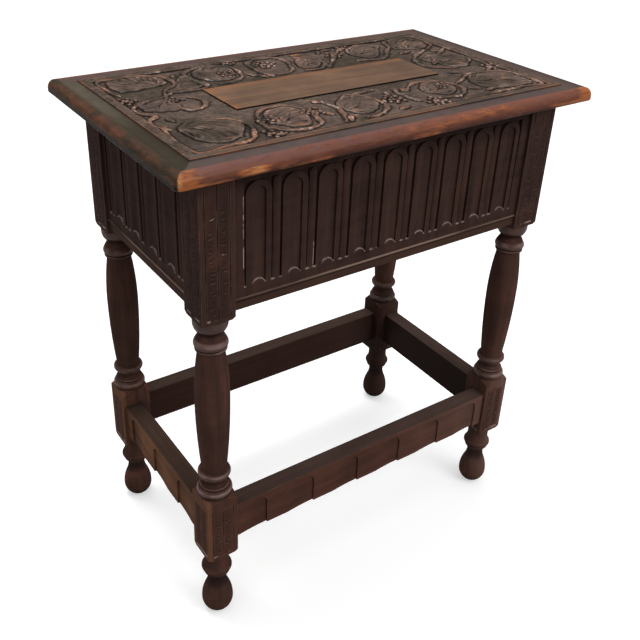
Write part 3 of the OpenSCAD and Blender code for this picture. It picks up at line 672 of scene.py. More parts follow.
# Broad leaves: wear, number of scallops, number of veins, and the outline from the foot on
LEAVES = (
    (0.35, 9, 3, ((-190, 90), (-206, 86), (-222, 82), (-240, 84), (-246, 100), (-244, 126),
                  (-222, 133), (-196, 130), (-179, 118), (-179, 98))),
    (0.15, 8, 3, ((-208, 34), (-224, 38), (-240, 32), (-246, 20), (-243, 6), (-232, -3),
                  (-213, -5), (-203, 10))),
    (0.1, 1, 2, ((-194, 55), (-172, 80), (-152, 108), (-147, 94), (-143, 68), (-158, 56),
                 (-178, 53))),
    (0.3, 2, 3, ((-236, -60), (-242, -88), (-230, -110), (-210, -121), (-186, -114), (-176, -92),
                 (-182, -66), (-199, -50), (-218, -50))),
    (0.25, 3, 3, ((-134, -104), (-124, -118), (-104, -118), (-92, -98), (-91, -72), (-104, -59),
                  (-128, -65), (-139, -86))),
    (0.15, 2, 2, ((-40, -100), (-38, -82), (-24, -66), (-8, -61), (5, -73), (8, -92), (0, -110),
                  (-16, -119), (-32, -116))),
    (0.2, 3, 3, ((-104, 70), (-124, 76), (-133, 94), (-132, 113), (-118, 126), (-98, 129),
                 (-83, 118), (-81, 98), (-90, 79))),
    (0.25, 7, 3, ((204, 80), (190, 96), (196, 112), (206, 126), (230, 129), (247, 126),
                  (249, 104), (241, 86), (222, 75))),
    (0.15, 6, 3, ((192, 6), (190, 26), (208, 36), (230, 34), (248, 20), (250, 0), (240, -16),
                  (218, -24), (202, -12))),
    (0.15, 5, 4, ((172, -80), (176, -104), (192, -122), (224, -125), (248, -121), (247, -86),
                  (232, -67), (204, -65))),
    (0.2, 4, 3, ((94, -98), (108, -109), (128, -105), (137, -88), (128, -68), (108, -65),
                 (95, -80))),
    (0.3, 4, 3, ((112, 84), (128, 70), (148, 78), (160, 97), (174, 116), (158, 128), (134, 125),
                 (116, 108))),
    (0.35, 2, 2, ((14, 70), (32, 66), (45, 76), (46, 96), (36, 108), (22, 100), (14, 86))),
)

# Small pointed leaves and buds: x and y of the foot, direction, length, width and wear
BLADES = (
    (-196, 60, 14, 50, 13, 0.4), (-160, 112, 60, 16, 9, 0.8), (-68, 84, -60, 22, 11, 1.0),
    (-58, 64, -30, 12, 8, 1.0), (30, 132, -20, 18, 9, 1.0), (28, 118, -15, 20, 8, 0.9),
    (30, 100, -50, 18, 9, 1.0), (72, 120, 60, 16, 8, 0.7), (84, 134, -10, 18, 8, 0.8),
    (-58, -52, -50, 15, 10, 1.0), (-66, -92, -70, 16, 9, 1.0), (-46, -116, -120, 22, 11, 1.0),
    (-236, -24, -80, 19, 10, 1.0), (70, -62, -70, 20, 12, 0.7), (-16, -78, -120, 12, 8, 1.0),
    (-192, -52, -30, 22, 9, 0.6), (-160, -132, 10, 24, 8, 0.5), (20, -128, 20, 22, 9, 0.7),
    (44, -66, -90, 14, 8, 0.6), (150, -102, -30, 20, 10, 0.6), (166, -122, 15, 24, 9, 0.5),
    (180, 68, 10, 24, 9, 0.6), (160, 128, -30, 20, 9, 0.8), (142, 134, -10, 18, 8, 0.7),
    (-100, -56, -40, 14, 9, 0.9), (-122, -112, -20, 22, 10, 1.0), (-226, -86, -12, 38, 9, 0.9),
    (-220, -112, -6, 34, 8, 0.9), (230, 62, -30, 24, 10, 0.5), (176, -36, -30, 20, 9, 0.4),
    (-172, 16, -60, 16, 8, 0.4), (-166, 92, 20, 18, 8, 0.7),
)

# Bunches of berries: x, y and the number of berries
BUNCHES = (
    (-250, 50, 8), (-68, 136, 7), (-93, 92, 9), (-25, 108, 14), (91, 106, 10), (-200, 29, 7),
    (-156, -124, 8), (-138, -84, 10), (-78, -84, 11), (36, -94, 12), (82, -124, 13),
    (126, -78, 9), (250, -44, 9), (120, 126, 9), (196, 8, 6),
)


def carve_lid(sizes):
    """Height map of the vine with its ground, borders and wear, and masks of the painted shadow
    and highlight on it.
    """
    step = sizes.grid / MM
    left, right, front, back = TABLET
    middle_x, middle_y = (left + right) / 2, (front + back) / 2
    xs = breaks(-GROUND_X, left, middle_x, right, GROUND_X, step=step)
    ys = breaks(-GROUND_Y, front, middle_y, back, GROUND_Y, step=step)
    relief = Relief(xs, ys)
    stem_width, stem_height = sizes.stem_width / MM, sizes.stem_height / MM
    leaf_height, berry_radius = sizes.leaf_height / MM, sizes.berry_radius / MM
    for worn, scallops, veins, outline in LEAVES:
        relief.leaf(outline, leaf_height, scallops, veins, worn)
    for worn, points in STEMS:
        relief.stem(points, stem_width, stem_height, worn)
    for x, y, turn, size, width, worn in BLADES:
        relief.blade(x, y, turn, size, width, leaf_height, worn)
    for x, y, count in BUNCHES:
        relief.berries(x, y, count, berry_radius, stem_height + 0.1)
    x, y = relief.x, relief.y
    edge = np.minimum(GROUND_X - np.abs(x), GROUND_Y - np.abs(y))
    edge = edge + 1.4 * (lattice_noise(x, y, 14, 3) - 0.5)
    border = 1 - smooth(edge, 0.4, sizes.border / MM)
    marks = sizes.tool_marks / MM
    ground = marks * (lattice_noise(x, y * 1.5, 5.5, 5) - 0.5)
    ground += marks * 0.5 * (lattice_noise(x + y, y - x, 3.0, 8) - 0.5)
    ground *= 1 - smooth(relief.raised, 0, 0.6)
    cut = sizes.setting_in / MM * np.exp(-(np.clip(relief.apart, 0, 9) / 1.2) ** 2)
    cut *= 1 - smooth(relief.raised, 0.05, 0.8)
    surface = sizes.ground_level / MM + relief.raised + ground - cut * (1 - border)
    surface += 0.12 * (lattice_noise(x, y, 2.6, 9) - 0.5)
    surface += 0.3 * (lattice_noise(x, y, 19, 12) - 0.5)
    shy = 0.12  # least distance from the bottom and from the rim of the sunk ground
    rim = TABLE_TOP - POCKET_Z - shy
    surface = np.maximum(surface, surface * (1 - border) + rim * border)
    surface = np.clip(surface, shy, rim)
    crest = np.clip((surface - blurred(surface, 3)) * 2.2, 0, 1)
    valley = np.clip((blurred(surface, 4) - surface) * 2.0 - 0.05, 0, 0.55)
    # Painted shadow where the surface behind a point, towards the back right, stands higher, and
    # painted highlight where the point stands above it
    shadow_drop, highlight_lift = np.zeros_like(surface), np.zeros_like(surface)
    for k in (1, 2, 3):
        behind = np.roll(surface, (-k, -((k + 1) // 2)), (0, 1))
        shadow_drop = np.maximum(shadow_drop, behind - surface - 0.2 * k * step)
        highlight_lift = np.maximum(highlight_lift, surface - behind - 0.1 * k * step)
    fields = {
        "carved": np.clip((surface - 0.4) / 2.2, 0, 1),
        "crest": crest,
        "worn": np.clip(relief.worn * smooth(relief.raised, 0.5, 1.3) + border * 0.12, 0, 1),
        # cut: dirt of the setting-in and the valleys, with the painted shadow in front of raised
        # forms
        "cut": np.clip(cut * 0.2 + smooth(shadow_drop, 0.12, 0.75) + valley, 0, 1),
        # rim: painted highlight on raised edges that stand above the surface behind them
        "rim": smooth(highlight_lift, 0.2, 0.8) * smooth(relief.raised, 0.3, 1.0),
        "berry": relief.berry,
    }
    return relief, surface, fields


def surface_normals(xs, ys, heights):
    slope_y, slope_x = np.gradient(heights, ys, xs)
    normals = np.stack([-slope_x, -slope_y, np.ones_like(heights)], -1)
    return normals / np.linalg.norm(normals, axis=-1, keepdims=True)


def on_lid(x, y, height):
    return np.stack([x, y, POCKET_Z + height], 1)


def build_lid_carving(sizes):
    """Four pieces of the carving, one in each quarter of the sunk ground."""
    bottom = -0.15  # of the sheets, just inside the lid
    relief, surface, fields = carve_lid(sizes)
    xs, ys = relief.xs, relief.ys
    normals = surface_normals(xs, ys, surface).reshape(-1, 3)
    cell_x, cell_y = (xs[:-1] + xs[1:]) / 2, (ys[:-1] + ys[1:]) / 2
    left, right, front, back = TABLET
    inside_x = (cell_x > left) & (cell_x < right)
    inside_y = (cell_y > front) & (cell_y < back)
    open_ground = ~(inside_y[:, None] & inside_x[None, :])
    things = []
    for depth_name, rows in (("front", cell_y < (front + back) / 2),
                             ("back", cell_y > (front + back) / 2)):
        for side_name, columns in (("left", cell_x < (left + right) / 2),
                                   ("right", cell_x > (left + right) / 2)):
            keep = open_ground & rows[:, None] & columns[None, :]
            thing, used = closed_sheet(f"lid_carving_{depth_name}_{side_name}", xs, ys,
                                       surface, keep, bottom, on_lid, fields)
            own = np.zeros((len(thing.data.vertices), 3))
            own[:len(used)] = normals[used]
            thing.data.normals_split_custom_set_from_vertices(own.tolist())
            things.append(thing)
    return things


# Finishes

def lid_carving_paint():
    """Carved oak with rubbed crests and berries, painted sheen and glints, and dirt and painted
    shadow in its cuts.
    """
    c, paint, grain = started("carved_lid_oak", 0)
    carved, crest, worn, cut, rim, berry = [
        paint.attribute(field) for field in ("carved", "crest", "worn", "cut", "rim", "berry")]
    crumb = paint.noise(190.0, 3.0, 0.6)
    tint = grain.tint * 0.35 + grain.patch * 0.35 + crumb * 0.35 + carved * 0.1
    base = paint.mix(tint.rise(0.42, 0.72), c.lid_ground, c.lid_oak)
    base = paint.mix(grain.mottle.fall(0.4, 0.52) * 0.5, base, c.hollow_dark_and_shade)
    # Painted mauve sheen on raised, mottled parts
    sheen = grain.mottle.rise(0.46, 0.62) * carved.rise(0.3, 0.7)
    base = paint.mix(sheen * 0.12, base, c.mauve_sheen)

    # Wear on crests and lit rims, a painted highlight on the lit rims, then dirt and painted
    # shadow in the cuts
    wear = worn * (grain.patch * 0.6 + grain.mottle * 0.4).rise(0.42, 0.56) * 1.2
    wear = wear * (crest.rise(0.05, 0.5) * 0.5 + rim * 0.45)
    base = paint.mix(wear.least(0.75), base, c.worn)
    # Painted highlight on the lit rims
    base = paint.mix(rim * (0.05 + crumb.rise(0.45, 0.6) * 0.3), base, c.pale_streak_and_highlight)
    spots = grain.patch.rise(0.6, 0.68) * crest.rise(0.1, 0.4) * 0.5
    base = paint.mix(spots, base, c.worn)
    base = paint.mix((cut * 0.95).least(0.88), base, c.dirt_and_shade)

    # Berries, dark round their foot, rubbed on top and with a painted glint at the very top
    base = paint.mix(berry.band(0.02, 0.45, 0.02) * 0.8, base, c.dirt_and_shade)
    base = paint.mix(berry.rise(0.6, 0.9) * grain.patch.rise(0.35, 0.5) * 0.8, base, c.berry)
    base = paint.mix(berry.rise(0.95, 1.0) * crumb.rise(0.5, 0.6) * 0.8, base, c.glint)
    # Painted glints on the crests
    pale = crest.rise(0.3, 0.8) * crumb.rise(0.52, 0.6) * grain.patch.rise(0.54, 0.62)
    base = paint.mix((pale * 0.9).least(0.8), base, c.glint)

    # Grain figure, with raised forms a little darker: painted shade that tempers the light they
    # catch
    base = grain.figured(base, 0.74 - carved.rise(0.35, 0.75) * 0.08 + crumb * 0.25, 0.3)
    height = grain.height * 0.6 + grain.patch * 0.3 + crumb * 0.25
    polish = crest.rise(0.1, 0.5) * (0.2 + grain.patch.rise(0.45, 0.6) * 0.8)
    return paint.finish(base, 0.6 + cut * 0.2, height, coat=polish * 0.7)


# Worn stretches of the lid's front nose: middle, reach to either side, lower and upper
# height above the lid's underside, and strength
WORN_STRETCHES = (
    (-214.0, 24.0, 3.0, 9.0, 1.3), (-268.0, 40.0, -1.0, 2.5, 1.0), (12.0, 26.0, 0.5, 4.5, 0.8),
    (80.0, 110.0, 11.0, 15.0, 0.6), (262.0, 50.0, 0.0, 5.0, 1.0), (-150.0, 60.0, 0.5, 3.5, 0.6),
)
WORN_CORE = (-214.0, 16.0, 5.0, 9.0, 1.0)


def lid_paint():
    """Finish of the lid: rubbed nose with a painted sheen, highlights and shade, dark hollow with
    painted shade at the left end, border, tablet and bare underside.
    """
    c, paint, grain = started("moulded_lid_oak", 0)
    x, y, z = paint.axes
    height = z - LID_Z
    inset_x, inset_y = LID_HALF_X - abs(x), LID_HALF_Y - abs(y)
    inset = inset_x.least(inset_y)
    end_grain = (inset_y - inset_x).rise(-1.0, 1.0)
    front = (1 - end_grain) * y.fall(-1.0, 1.0)
    blotch = paint.noise((9.0, 16.0, 60.0), 4.0, 0.6)
    scuff = paint.noise((40.0, 50.0, 170.0), 4.0, 0.65)
    speck = paint.noise((170.0, 170.0, 230.0), 2.0, 0.5)
    fleck = paint.noise((70.0, 70.0, 620.0), 4.0, 0.65)
    crumb = paint.noise(190.0, 3.0, 0.6)
    mixed = blotch * 0.5 + scuff * 0.5

    def rubbed(middle, reach, low, high, gain):
        across = ((x - middle) / reach) ** 2
        return across.fall(0.2, 1.0) * height.band(low, high, 2.5) * gain

    # Where the nose is worn
    nose = inset.fall(NOSE_RADIUS - 2.5, NOSE_RADIUS + 5)
    corner = (inset_x * inset_x + inset_y * inset_y * 2).fall(60.0, 1400.0)
    ragged = (mixed - 0.5) * 1.9 + (fleck - 0.5) * 0.9
    wear = rubbed(*WORN_STRETCHES[0])
    for stretch in WORN_STRETCHES[1:]:
        wear = wear.most(rubbed(*stretch))
    wear = wear * front * 0.42 + corner * front * 0.6 + ragged - end_grain * 0.35
    wear = wear.rise(0.08, 0.72)

    # Colours of the nose along the front and at the ends, with painted sheen, highlight and shade
    # The nose's mottled colour, with painted shade making it darker towards the bottom
    skin = paint.mix((mixed * 0.7 + height * 0.02).rise(0.38, 0.6), c.nose_dark, c.nose)
    # Painted reflection of the sky on the upper front nose, fainter to the right
    reflection = height.rise(8.0, 16.0) * scuff.rise(0.3, 0.6)
    skin = paint.mix(reflection * (0.8 - x.rise(-120.0, 60.0) * 0.5) * front, skin, c.mauve_sheen)
    reddish = mixed.rise(0.38, 0.62) * height.band(9.0, 14.0, 5.0)
    side_skin = paint.mix(reddish * 0.9, c.hollow_dark_and_shade, c.side_nose)
    # Painted shade on the lower end grain
    side_skin = paint.mix(height.fall(2.0, 9.0) * 0.35, side_skin, c.dirt_and_shade)
    skin = paint.mix(end_grain, skin, side_skin)
    skin = paint.mix(wear, skin, c.worn)
    core = rubbed(*WORN_CORE) * front * fleck.rise(0.42, 0.6)
    skin = paint.mix(core * 0.55, skin, c.pale_wear_and_highlight)
    skin = paint.mix(fleck.fall(0.36, 0.44) * 0.45, skin, c.nose_dark)
    # Painted highlight on the front nose beside the corner mitres
    turned = front * (inset_x - inset_y).fall(2.0, 9.0) * nose * height.band(3.0, 12.0, 4.0)
    skin = paint.mix(turned * (0.35 + scuff.rise(0.35, 0.6) * 0.5), skin, c.pale_wear_and_highlight)
    skin = paint.mix(speck.rise(0.70, 0.76) * front * 0.8, skin, c.pale_streak_and_highlight)
    # Painted shadow along the foot of the nose, where it is not worn
    skin = paint.mix(height.fall(1.5, 5.0) * (1 - wear) * 0.5, skin, c.dirt_and_shade)

    # Field and hollow, with painted shade on the hollow along the left end, darkest at its front
    field = paint.mix(grain.tint.rise(0.3, 0.7), c.lid_ground, c.lid_oak)
    left_end = end_grain * x.fall(0.0, 10.0)
    # Painted shade on the front half of the left end, and dark scuffs all round
    dark = left_end * y.fall(-60.0, 60.0) + scuff.rise(0.45, 0.75) * 0.4
    grey = paint.mix(left_end * 0.8, c.hollow, c.shaded_left_hollow)
    hollow = paint.mix((dark * 0.8).least(0.8), grey, c.hollow_dark_and_shade)
    base = paint.mix(inset.fall(MOULDING_WIDTH - 1.5, MOULDING_WIDTH), field, hollow)
    base = paint.mix(nose, base, skin)

    # Border between the moulding and the carving, with worn arrises, a painted highlight at the
    # foot of the end noses and a darkened quirk
    border = paint.mix((grain.patch * 0.5 + crumb * 0.5).rise(0.4, 0.6), c.hollow_dark_and_shade,
                       c.lid_oak)
    on_border = inset.band(MOULDING_WIDTH + 0.5, BORDER_WIDTH, 0.8)
    base = paint.mix(on_border * (1 - front * 0.7) * 0.7, base, border)
    arris = inset.band(MOULDING_WIDTH, MOULDING_WIDTH + 1.4, 0.6)
    arris = arris * (grain.mottle * 0.5 + scuff * 0.5).rise(0.44, 0.56)
    base = paint.mix(arris * (0.3 + front * 0.2), base, c.worn)
    # Painted highlight along the foot of the nose at both ends
    under = end_grain * height.band(0.4, 1.6, 0.4) * scuff.rise(0.42, 0.56)
    base = paint.mix(under * 0.6, base, c.glint)
    brink = inset.band(BORDER_WIDTH - 1.6, BORDER_WIDTH, 0.5) * scuff.rise(0.45, 0.6)
    base = paint.mix(brink * (0.2 + front * 0.25), base, c.worn)
    quirk = inset.band(MOULDING_WIDTH - 1.2, MOULDING_WIDTH - 0.1, 0.6)
    base = paint.mix(quirk * 0.55, base, c.dirt_and_shade)

    # Tablet, worn along its left and back edges
    left, right, rear = x - TABLET[0], TABLET[1] - x, TABLET[3] - y
    near_edge = left.least(rear).fall(1.0, 16.0) * grain.streak.rise(0.35, 0.6)
    on_tablet = left.least(right).least(y - TABLET[2]).least(rear).rise(-0.3, 0.0)
    streaks = (grain.mottle * 0.6 + grain.streak * 0.4).rise(0.3, 0.75)
    tablet = paint.mix(streaks, c.tablet, c.pale_streak_and_highlight)
    tablet = paint.mix(near_edge * 0.3 + grain.streak.rise(0.55, 0.75) * 0.1, tablet, c.worn)
    base = paint.mix(on_tablet * z.rise(TABLE_TOP - 1, TABLE_TOP - 0.2), base, tablet)

    # Walls of the pocket and the underside
    facing_up = paint.normal_part(2)
    wall = facing_up.fall(0.3, 0.6) * inset.rise(BORDER_WIDTH - 5, BORDER_WIDTH - 3)
    base = paint.mix(wall * 0.9, base, c.dirt_and_shade)
    base = paint.mix(facing_up.fall(-0.9, -0.6) * 0.7, base, c.inner_dark)
    polish = nose * (0.25 + wear * 0.3) + scuff.rise(0.5, 0.7) * 0.1
    return paint.finish(grain.figured(base), 0.5 + grain.mottle * 0.12,
                        grain.height + scuff * nose * 0.6, coat=polish * 0.5)


def board_paint(name, side, glint_lines=()):
    """Finish of a carved board, bare on its inner side, with painted shadow under the lid,
    painted light on its steep walls and painted highlights on its arrises.
    """
    c, paint, grain = started(name, 1 - side[0])
    z, depth = paint.z, paint.depth(side)
    upright = paint.noise((60.0, 60.0, 6.0), 4.0, 0.6)
    tint = grain.tint * 0.45 + upright * 0.55
    base = paint.mix(tint.rise(0.3, 0.6), c.board_deep_and_shade, c.board)
    base = paint.mix(upright.rise(0.52, 0.68) * 0.45, base, c.board_brown_and_lit)
    deep = depth.rise(0.3, 3.2)
    base = paint.mix(deep * 0.05, base, c.board_deep_and_shade)
    base = paint.mix(depth.rise(2.6, 4.0) * 0.2, base, c.dirt_and_shade)
    # Painted light on the steep walls of the carving
    lit_steep_wall = abs(paint.normal_part(1 - side[0])).rise(0.5, 0.8) * depth.band(0.2, 5.0, 0.2)
    base = paint.mix(lit_steep_wall * 0.4, base, c.board_brown_and_lit)
    # Painted shadow of the lid along the top of the board, stronger towards the right
    lid_shadow = z.rise(BOX_TOP - 44, BOX_TOP - 2) * (0.3 + grain.mottle * 0.4)
    lid_shadow = lid_shadow * (1 + paint.x.rise(-60.0, 140.0) * 0.6)
    base = paint.mix(lid_shadow, base, c.dirt_and_shade)

    # Pale arrises, worn and with painted highlights, strongest on the half moons and reeds at the
    # foot of the board
    edge = paint.edges(0.9) * depth.fall(0.6, 2.2)
    low = z.fall(RAIL_TOP + 14, RAIL_TOP + 44)
    broken = (upright * 0.5 + grain.patch * 0.5).rise(0.40, 0.58)
    base = paint.mix(edge * broken * (0.25 + low * 0.4) * 0.8, base, c.worn_edge_highlight)
    # Painted glints on the edges that look up, on the half moons and reeds
    foot = paint.level_edges(2.4) * depth.fall(0.9, 2.6) * z.fall(RAIL_TOP + 16, RAIL_TOP + 22)
    base = paint.mix((foot * grain.patch.rise(0.36, 0.5) * 1.2).least(0.85), base, c.glint)
    # Painted highlight lines on worn groove edges
    for place, low_end, high_end in glint_lines:
        line = paint.x.band(place - 0.3, place + 0.3, 0.4) * z.band(low_end, high_end, 4.0)
        base = paint.mix(line * grain.patch.rise(0.38, 0.5) * 0.85, base, c.glint)

    inner = depth.rise(15.0, 15.8)
    base = grain.figured(paint.mix(inner, base, grain.bare_wood()))
    roughness = 0.5 - edge * 0.15 + deep * 0.14 + grain.mottle * 0.1 + inner * 0.15
    return paint.finish(base, roughness, grain.height + upright * 0.1)


def leg_paint():
    """Finish of the turned legs: darkened necks, painted highlights on the rings, painted shade
    under the turnings and at the back right, and worn arrises with a painted highlight on the
    blocks.
    """
    c, paint, grain = started("turned_dark_oak", 2)
    x, y, z = paint.axes
    u, v = abs(x) - LEG_X, abs(y) - LEG_Y
    radius = (u * u + v * v) ** 0.5
    low_block = z.band(LOW_BLOCK_Z, LOW_BLOCK_TOP, 2.0)
    block = (z.rise(POST_Z - 2, POST_Z) + low_block).least(1.0)
    turned = 1 - block
    lines = paint.noise((60.0, 60.0, 300.0), 3.0, 0.6)

    def above(foot):
        """The closing line above the foot of a block."""
        return z.band(foot + 5.2, foot + 7.4, 0.4)

    def across_face(width, out):
        """The middle of both faces that look along out, as far as a closing line goes."""
        return width.band(-14.5, 14.5, 0.5) * abs(out).rise(HALF_BLOCK - 1, HALF_BLOCK - 0.5)

    # Dark oak, redder where it is rubbed, with painted light on the lower legs at the right
    base = paint.mix(grain.tint.rise(0.25, 0.75), c.leg_dark, c.leg)
    post = z.rise(POST_Z - 2, POST_Z + 2)
    base = paint.mix(post * 0.7, base, c.board)
    red = (grain.mottle * 0.6 + grain.streak * 0.4).rise(0.52, 0.68) * (0.6 - post * 0.4)
    base = paint.mix(red, base, c.leg_red)
    base = paint.mix(low_block * y.fall(-152.0, -148.0) * 0.3, base, c.stretcher)
    base = paint.mix(low_block * x.fall(-262.0, -258.0) * 0.5, base, c.stretcher_brown)
    # Painted light on the lower legs at the right
    lit_right = x.rise(216.0, 264.0) * z.fall(170.0, 330.0) * (0.3 + grain.mottle * 0.6)
    base = paint.mix(lit_right, base, c.right_side_light)

    # Turned necks, darkened, and rings, with painted highlights on their upper rounds and painted
    # shade under the turnings
    neck = turned * radius.fall(12.0, 16.5)
    ends = z.fall(LOW_BLOCK_TOP + 32, LOW_BLOCK_TOP + 44) + z.rise(POST_Z - 50, POST_Z - 44)
    ring = turned * radius.rise(18.6, 20.6) * ends.least(1.0)
    base = paint.mix(neck * 0.75, base, c.dirt_and_shade)
    base = paint.mix(ring * lines.rise(0.4, 0.7) * 0.35, base, c.leg_red)
    facing_up = paint.normal_part(2)
    # Painted highlight on the upper rounds of the rings
    rubbed = turned * radius.rise(17.5, 19.0) * facing_up.band(0.35, 0.6, 0.25)
    rubbed = rubbed * z.rise(LOW_BLOCK_TOP - 6, LOW_BLOCK_TOP) * (1 - y.rise(0.0, 40.0) * 0.5)
    base = paint.mix(rubbed * (0.1 + grain.patch.rise(0.4, 0.6) * 0.5), base, c.ring_highlight)
    # Painted shade under the turnings
    base = paint.mix(turned * facing_up.fall(-0.6, -0.1) * 0.4, base, c.dirt_and_shade)

    # Arrises of the blocks and the line that closes them below, worn and with painted highlights,
    # and their sunk lines
    inset = HALF_BLOCK - abs(u).most(abs(v))
    edge = paint.edges(1.1) * inset.fall(0.5, 0.9) * block
    base = paint.mix(edge * grain.patch.rise(0.42, 0.6) * 0.35, base, c.worn_edge_highlight)
    groove = block * inset.rise(0.35, 0.75) * inset.fall(1.5, 3.0)
    base = paint.mix(groove * 0.25, base, c.dirt_and_shade)
    closing = above(POST_Z) + above(LOW_BLOCK_Z)
    on_face = (across_face(u, v) + across_face(v, u)).least(1.0)
    dashes = closing * on_face * grain.patch.rise(0.44, 0.54)
    base = paint.mix(dashes * 0.8, base, c.glint)

    # Red wear on the feet, and painted shadow on the lower half of the leg at the back right
    base = paint.mix(z.fall(2.0, 30.0) * grain.patch.rise(0.45, 0.65) * 0.35, base, c.leg_red)
    base = grain.figured(base, 0.84, 0.32)
    far = x.rise(150.0, 220.0) * y.rise(80.0, 110.0) * z.fall(230.0, 290.0)
    base = paint.mix(far * 0.6, base, c.dirt_and_shade)
    roughness = 0.42 - ring * 0.12 - edge * 0.1 + neck * 0.15 + grain.mottle * 0.12
    polish = 0.04 + ring * z.rise(LOW_BLOCK_TOP, LOW_BLOCK_TOP + 4) * 0.3
    return paint.finish(base, roughness, grain.height + lines * turned * 0.15, coat=polish)


def marks_paint():
    """Finish of the gouge marks: darkened cuts, a painted highlight on their lips and painted
    glints there in pale dots.
    """
    c, paint, grain = started("gouge_marked_oak", 2)
    mark, crest = paint.attribute("mark"), paint.attribute("crest")
    crumb = paint.noise(260.0, 2.0, 0.5)
    low = paint.z.fall(LOW_BLOCK_TOP, LOW_BLOCK_TOP + 2)
    base = paint.mix(grain.tint.rise(0.25, 0.75), c.leg_dark, c.board)
    base = paint.mix(grain.mottle.rise(0.52, 0.68) * 0.3, base, c.leg_red)
    base = paint.mix(low * 0.35, base, c.stretcher)
    base = paint.mix((mark * 1.1).least(0.85), base, c.dirt_and_shade)
    # Painted highlight on the lips, and painted glints in dots
    base = paint.mix(crest.rise(0.2, 0.7) * 0.2, base, c.worn_edge_highlight)
    dots = crest * crumb.rise(0.6, 0.68) * (grain.patch.rise(0.5, 0.6) * 0.9 + low * 0.4)
    base = paint.mix(dots.least(0.9), base, c.glint)
    return paint.finish(grain.figured(base, pores=0.0), 0.42 + mark * 0.2 - crest * 0.1,
                        grain.height)


def stretcher_paint(name, side, face_colour, top_colour):
    """Finish of a low stretcher: dull scoops with painted shade, painted shade on the inner face
    and at the back left, painted light towards the right, and a top in a painted lit tone or a
    painted shaded tone.
    """
    c, paint, grain = started(name, 1 - side[0])
    x, depth = paint.x, paint.depth(side)
    base = paint.mix(grain.tint.rise(0.05, 0.75), c.leg_dark, face_colour)
    # Painted light towards the right end
    base = paint.mix(x.rise(0.0, 230.0) * 0.35, base, c.right_side_light)
    # Painted shade in the scoops
    scoop = depth.rise(0.3, 4.0) * depth.fall(5.0, 7.0)
    base = paint.mix(scoop * 0.35, base, c.board_deep_and_shade)
    # Top faces in the painted tone given for this stretcher
    top = paint.normal_part(2).rise(0.5, 0.8)
    base = paint.mix(top * 0.85, base, paint.mix(grain.tint, c.leg_dark, top_colour))
    # Painted shade on the inner face, deepest towards the right
    inner_face = depth.rise(23.0, 24.0)
    base = paint.mix(inner_face * 0.75, base, c.board_deep_and_shade)
    base = paint.mix(inner_face * x.rise(150.0, 230.0) * 0.5, base, c.dirt_and_shade)
    # Painted shade at the back left
    back_left = x.fall(-240.0, -200.0) * paint.y.rise(50.0, 105.0)
    base = paint.mix(back_left * 0.4, base, c.dirt_and_shade)
    # Worn arrises with a painted highlight
    edge = paint.edges(1.0) * depth.fall(0.8, 2.0)
    base = paint.mix(edge * grain.patch.rise(0.42, 0.62) * 0.45, base, c.worn_edge_highlight)
    roughness = 0.46 + scoop * 0.12 - edge * 0.12 + grain.mottle * 0.12
    return paint.finish(grain.figured(base), roughness, grain.height)


def rail_paint(name, side):
    """Finish of a rail with a painted highlight on the bead along its top, bare on its inner
    side.
    """
    c, paint, grain = started(name, 1 - side[0])
    z, depth = paint.z, paint.depth(side)
    base = paint.mix(grain.tint.rise(0.3, 0.7), c.board, c.rail)
    # Painted highlight on the bead, and the quirk below it darkened
    bead = z.band(RAIL_TOP - 3.2, RAIL_TOP, 0.4) * depth.fall(-0.9, -0.1)
    base = paint.mix(bead * grain.streak.rise(0.3, 0.6) * 0.6, base, c.worn_edge_highlight)
    quirk = z.band(RAIL_TOP - 5, RAIL_TOP - 3.4, 0.6) * depth.fall(0.2, 1.0)
    base = paint.mix(quirk * 0.7, base, c.dirt_and_shade)
    base = paint.mix(depth.rise(10.0, 12.0), base, grain.bare_wood())
    roughness = 0.46 - bead * 0.14 + grain.mottle * 0.12
    return paint.finish(grain.figured(base), roughness, grain.height)


def bottom_board_paint():
    """Unstained wood, darker underneath."""
    c, paint, grain = started("bottom_board_wood", 0)
    base = paint.mix(grain.tint.rise(0.25, 0.75), c.inner_dark, c.inner)
    under = paint.normal_part(2).fall(-0.8, -0.4)
    base = grain.figured(paint.mix(under * 0.6, base, c.inner_dark), 0.8, 0.4, 0.25)
    return paint.finish(base, 0.62 + grain.mottle * 0.15, grain.height * 1.3)


def back_board_paint():
    """Plain stained oak, bare inside the box."""
    c, paint, grain = started("plain_back_oak", 0)
    base = paint.mix(grain.tint.rise(0.3, 0.7), c.board_deep_and_shade, c.board)
    base = paint.mix(grain.mottle.rise(0.5, 0.7) * 0.4, base, c.leg_red)
    inside = paint.y.fall(139.0, 140.0)
    base = paint.mix(inside, base, grain.bare_wood())
    top = paint.normal_part(2).rise(0.5, 0.8)
    base = grain.figured(paint.mix(top * 0.5, base, c.leg_dark), pores=0.2)
    return paint.finish(base, 0.52 + grain.mottle * 0.12, grain.height * 1.2)


def brass_paint():
    """Brass with fine lengthwise lines and brown tarnish."""
    c, paint = colours(), Paint("aged_brass")
    patch = paint.noise(220.0, 4.0, 0.6)
    fine = paint.noise((30.0, 900.0, 900.0), 3.0, 0.6)
    tarnish = (patch * 0.7 + fine * 0.3).rise(0.42, 0.62)
    base = paint.mix(tarnish, c.brass, c.brass_dark)
    return paint.finish(base, 0.3 + tarnish * 0.25, fine * 0.03,
                        metallic=0.9 - tarnish * 0.25, shine=0.5)


# Gouge marks, and the lid with rounded corners

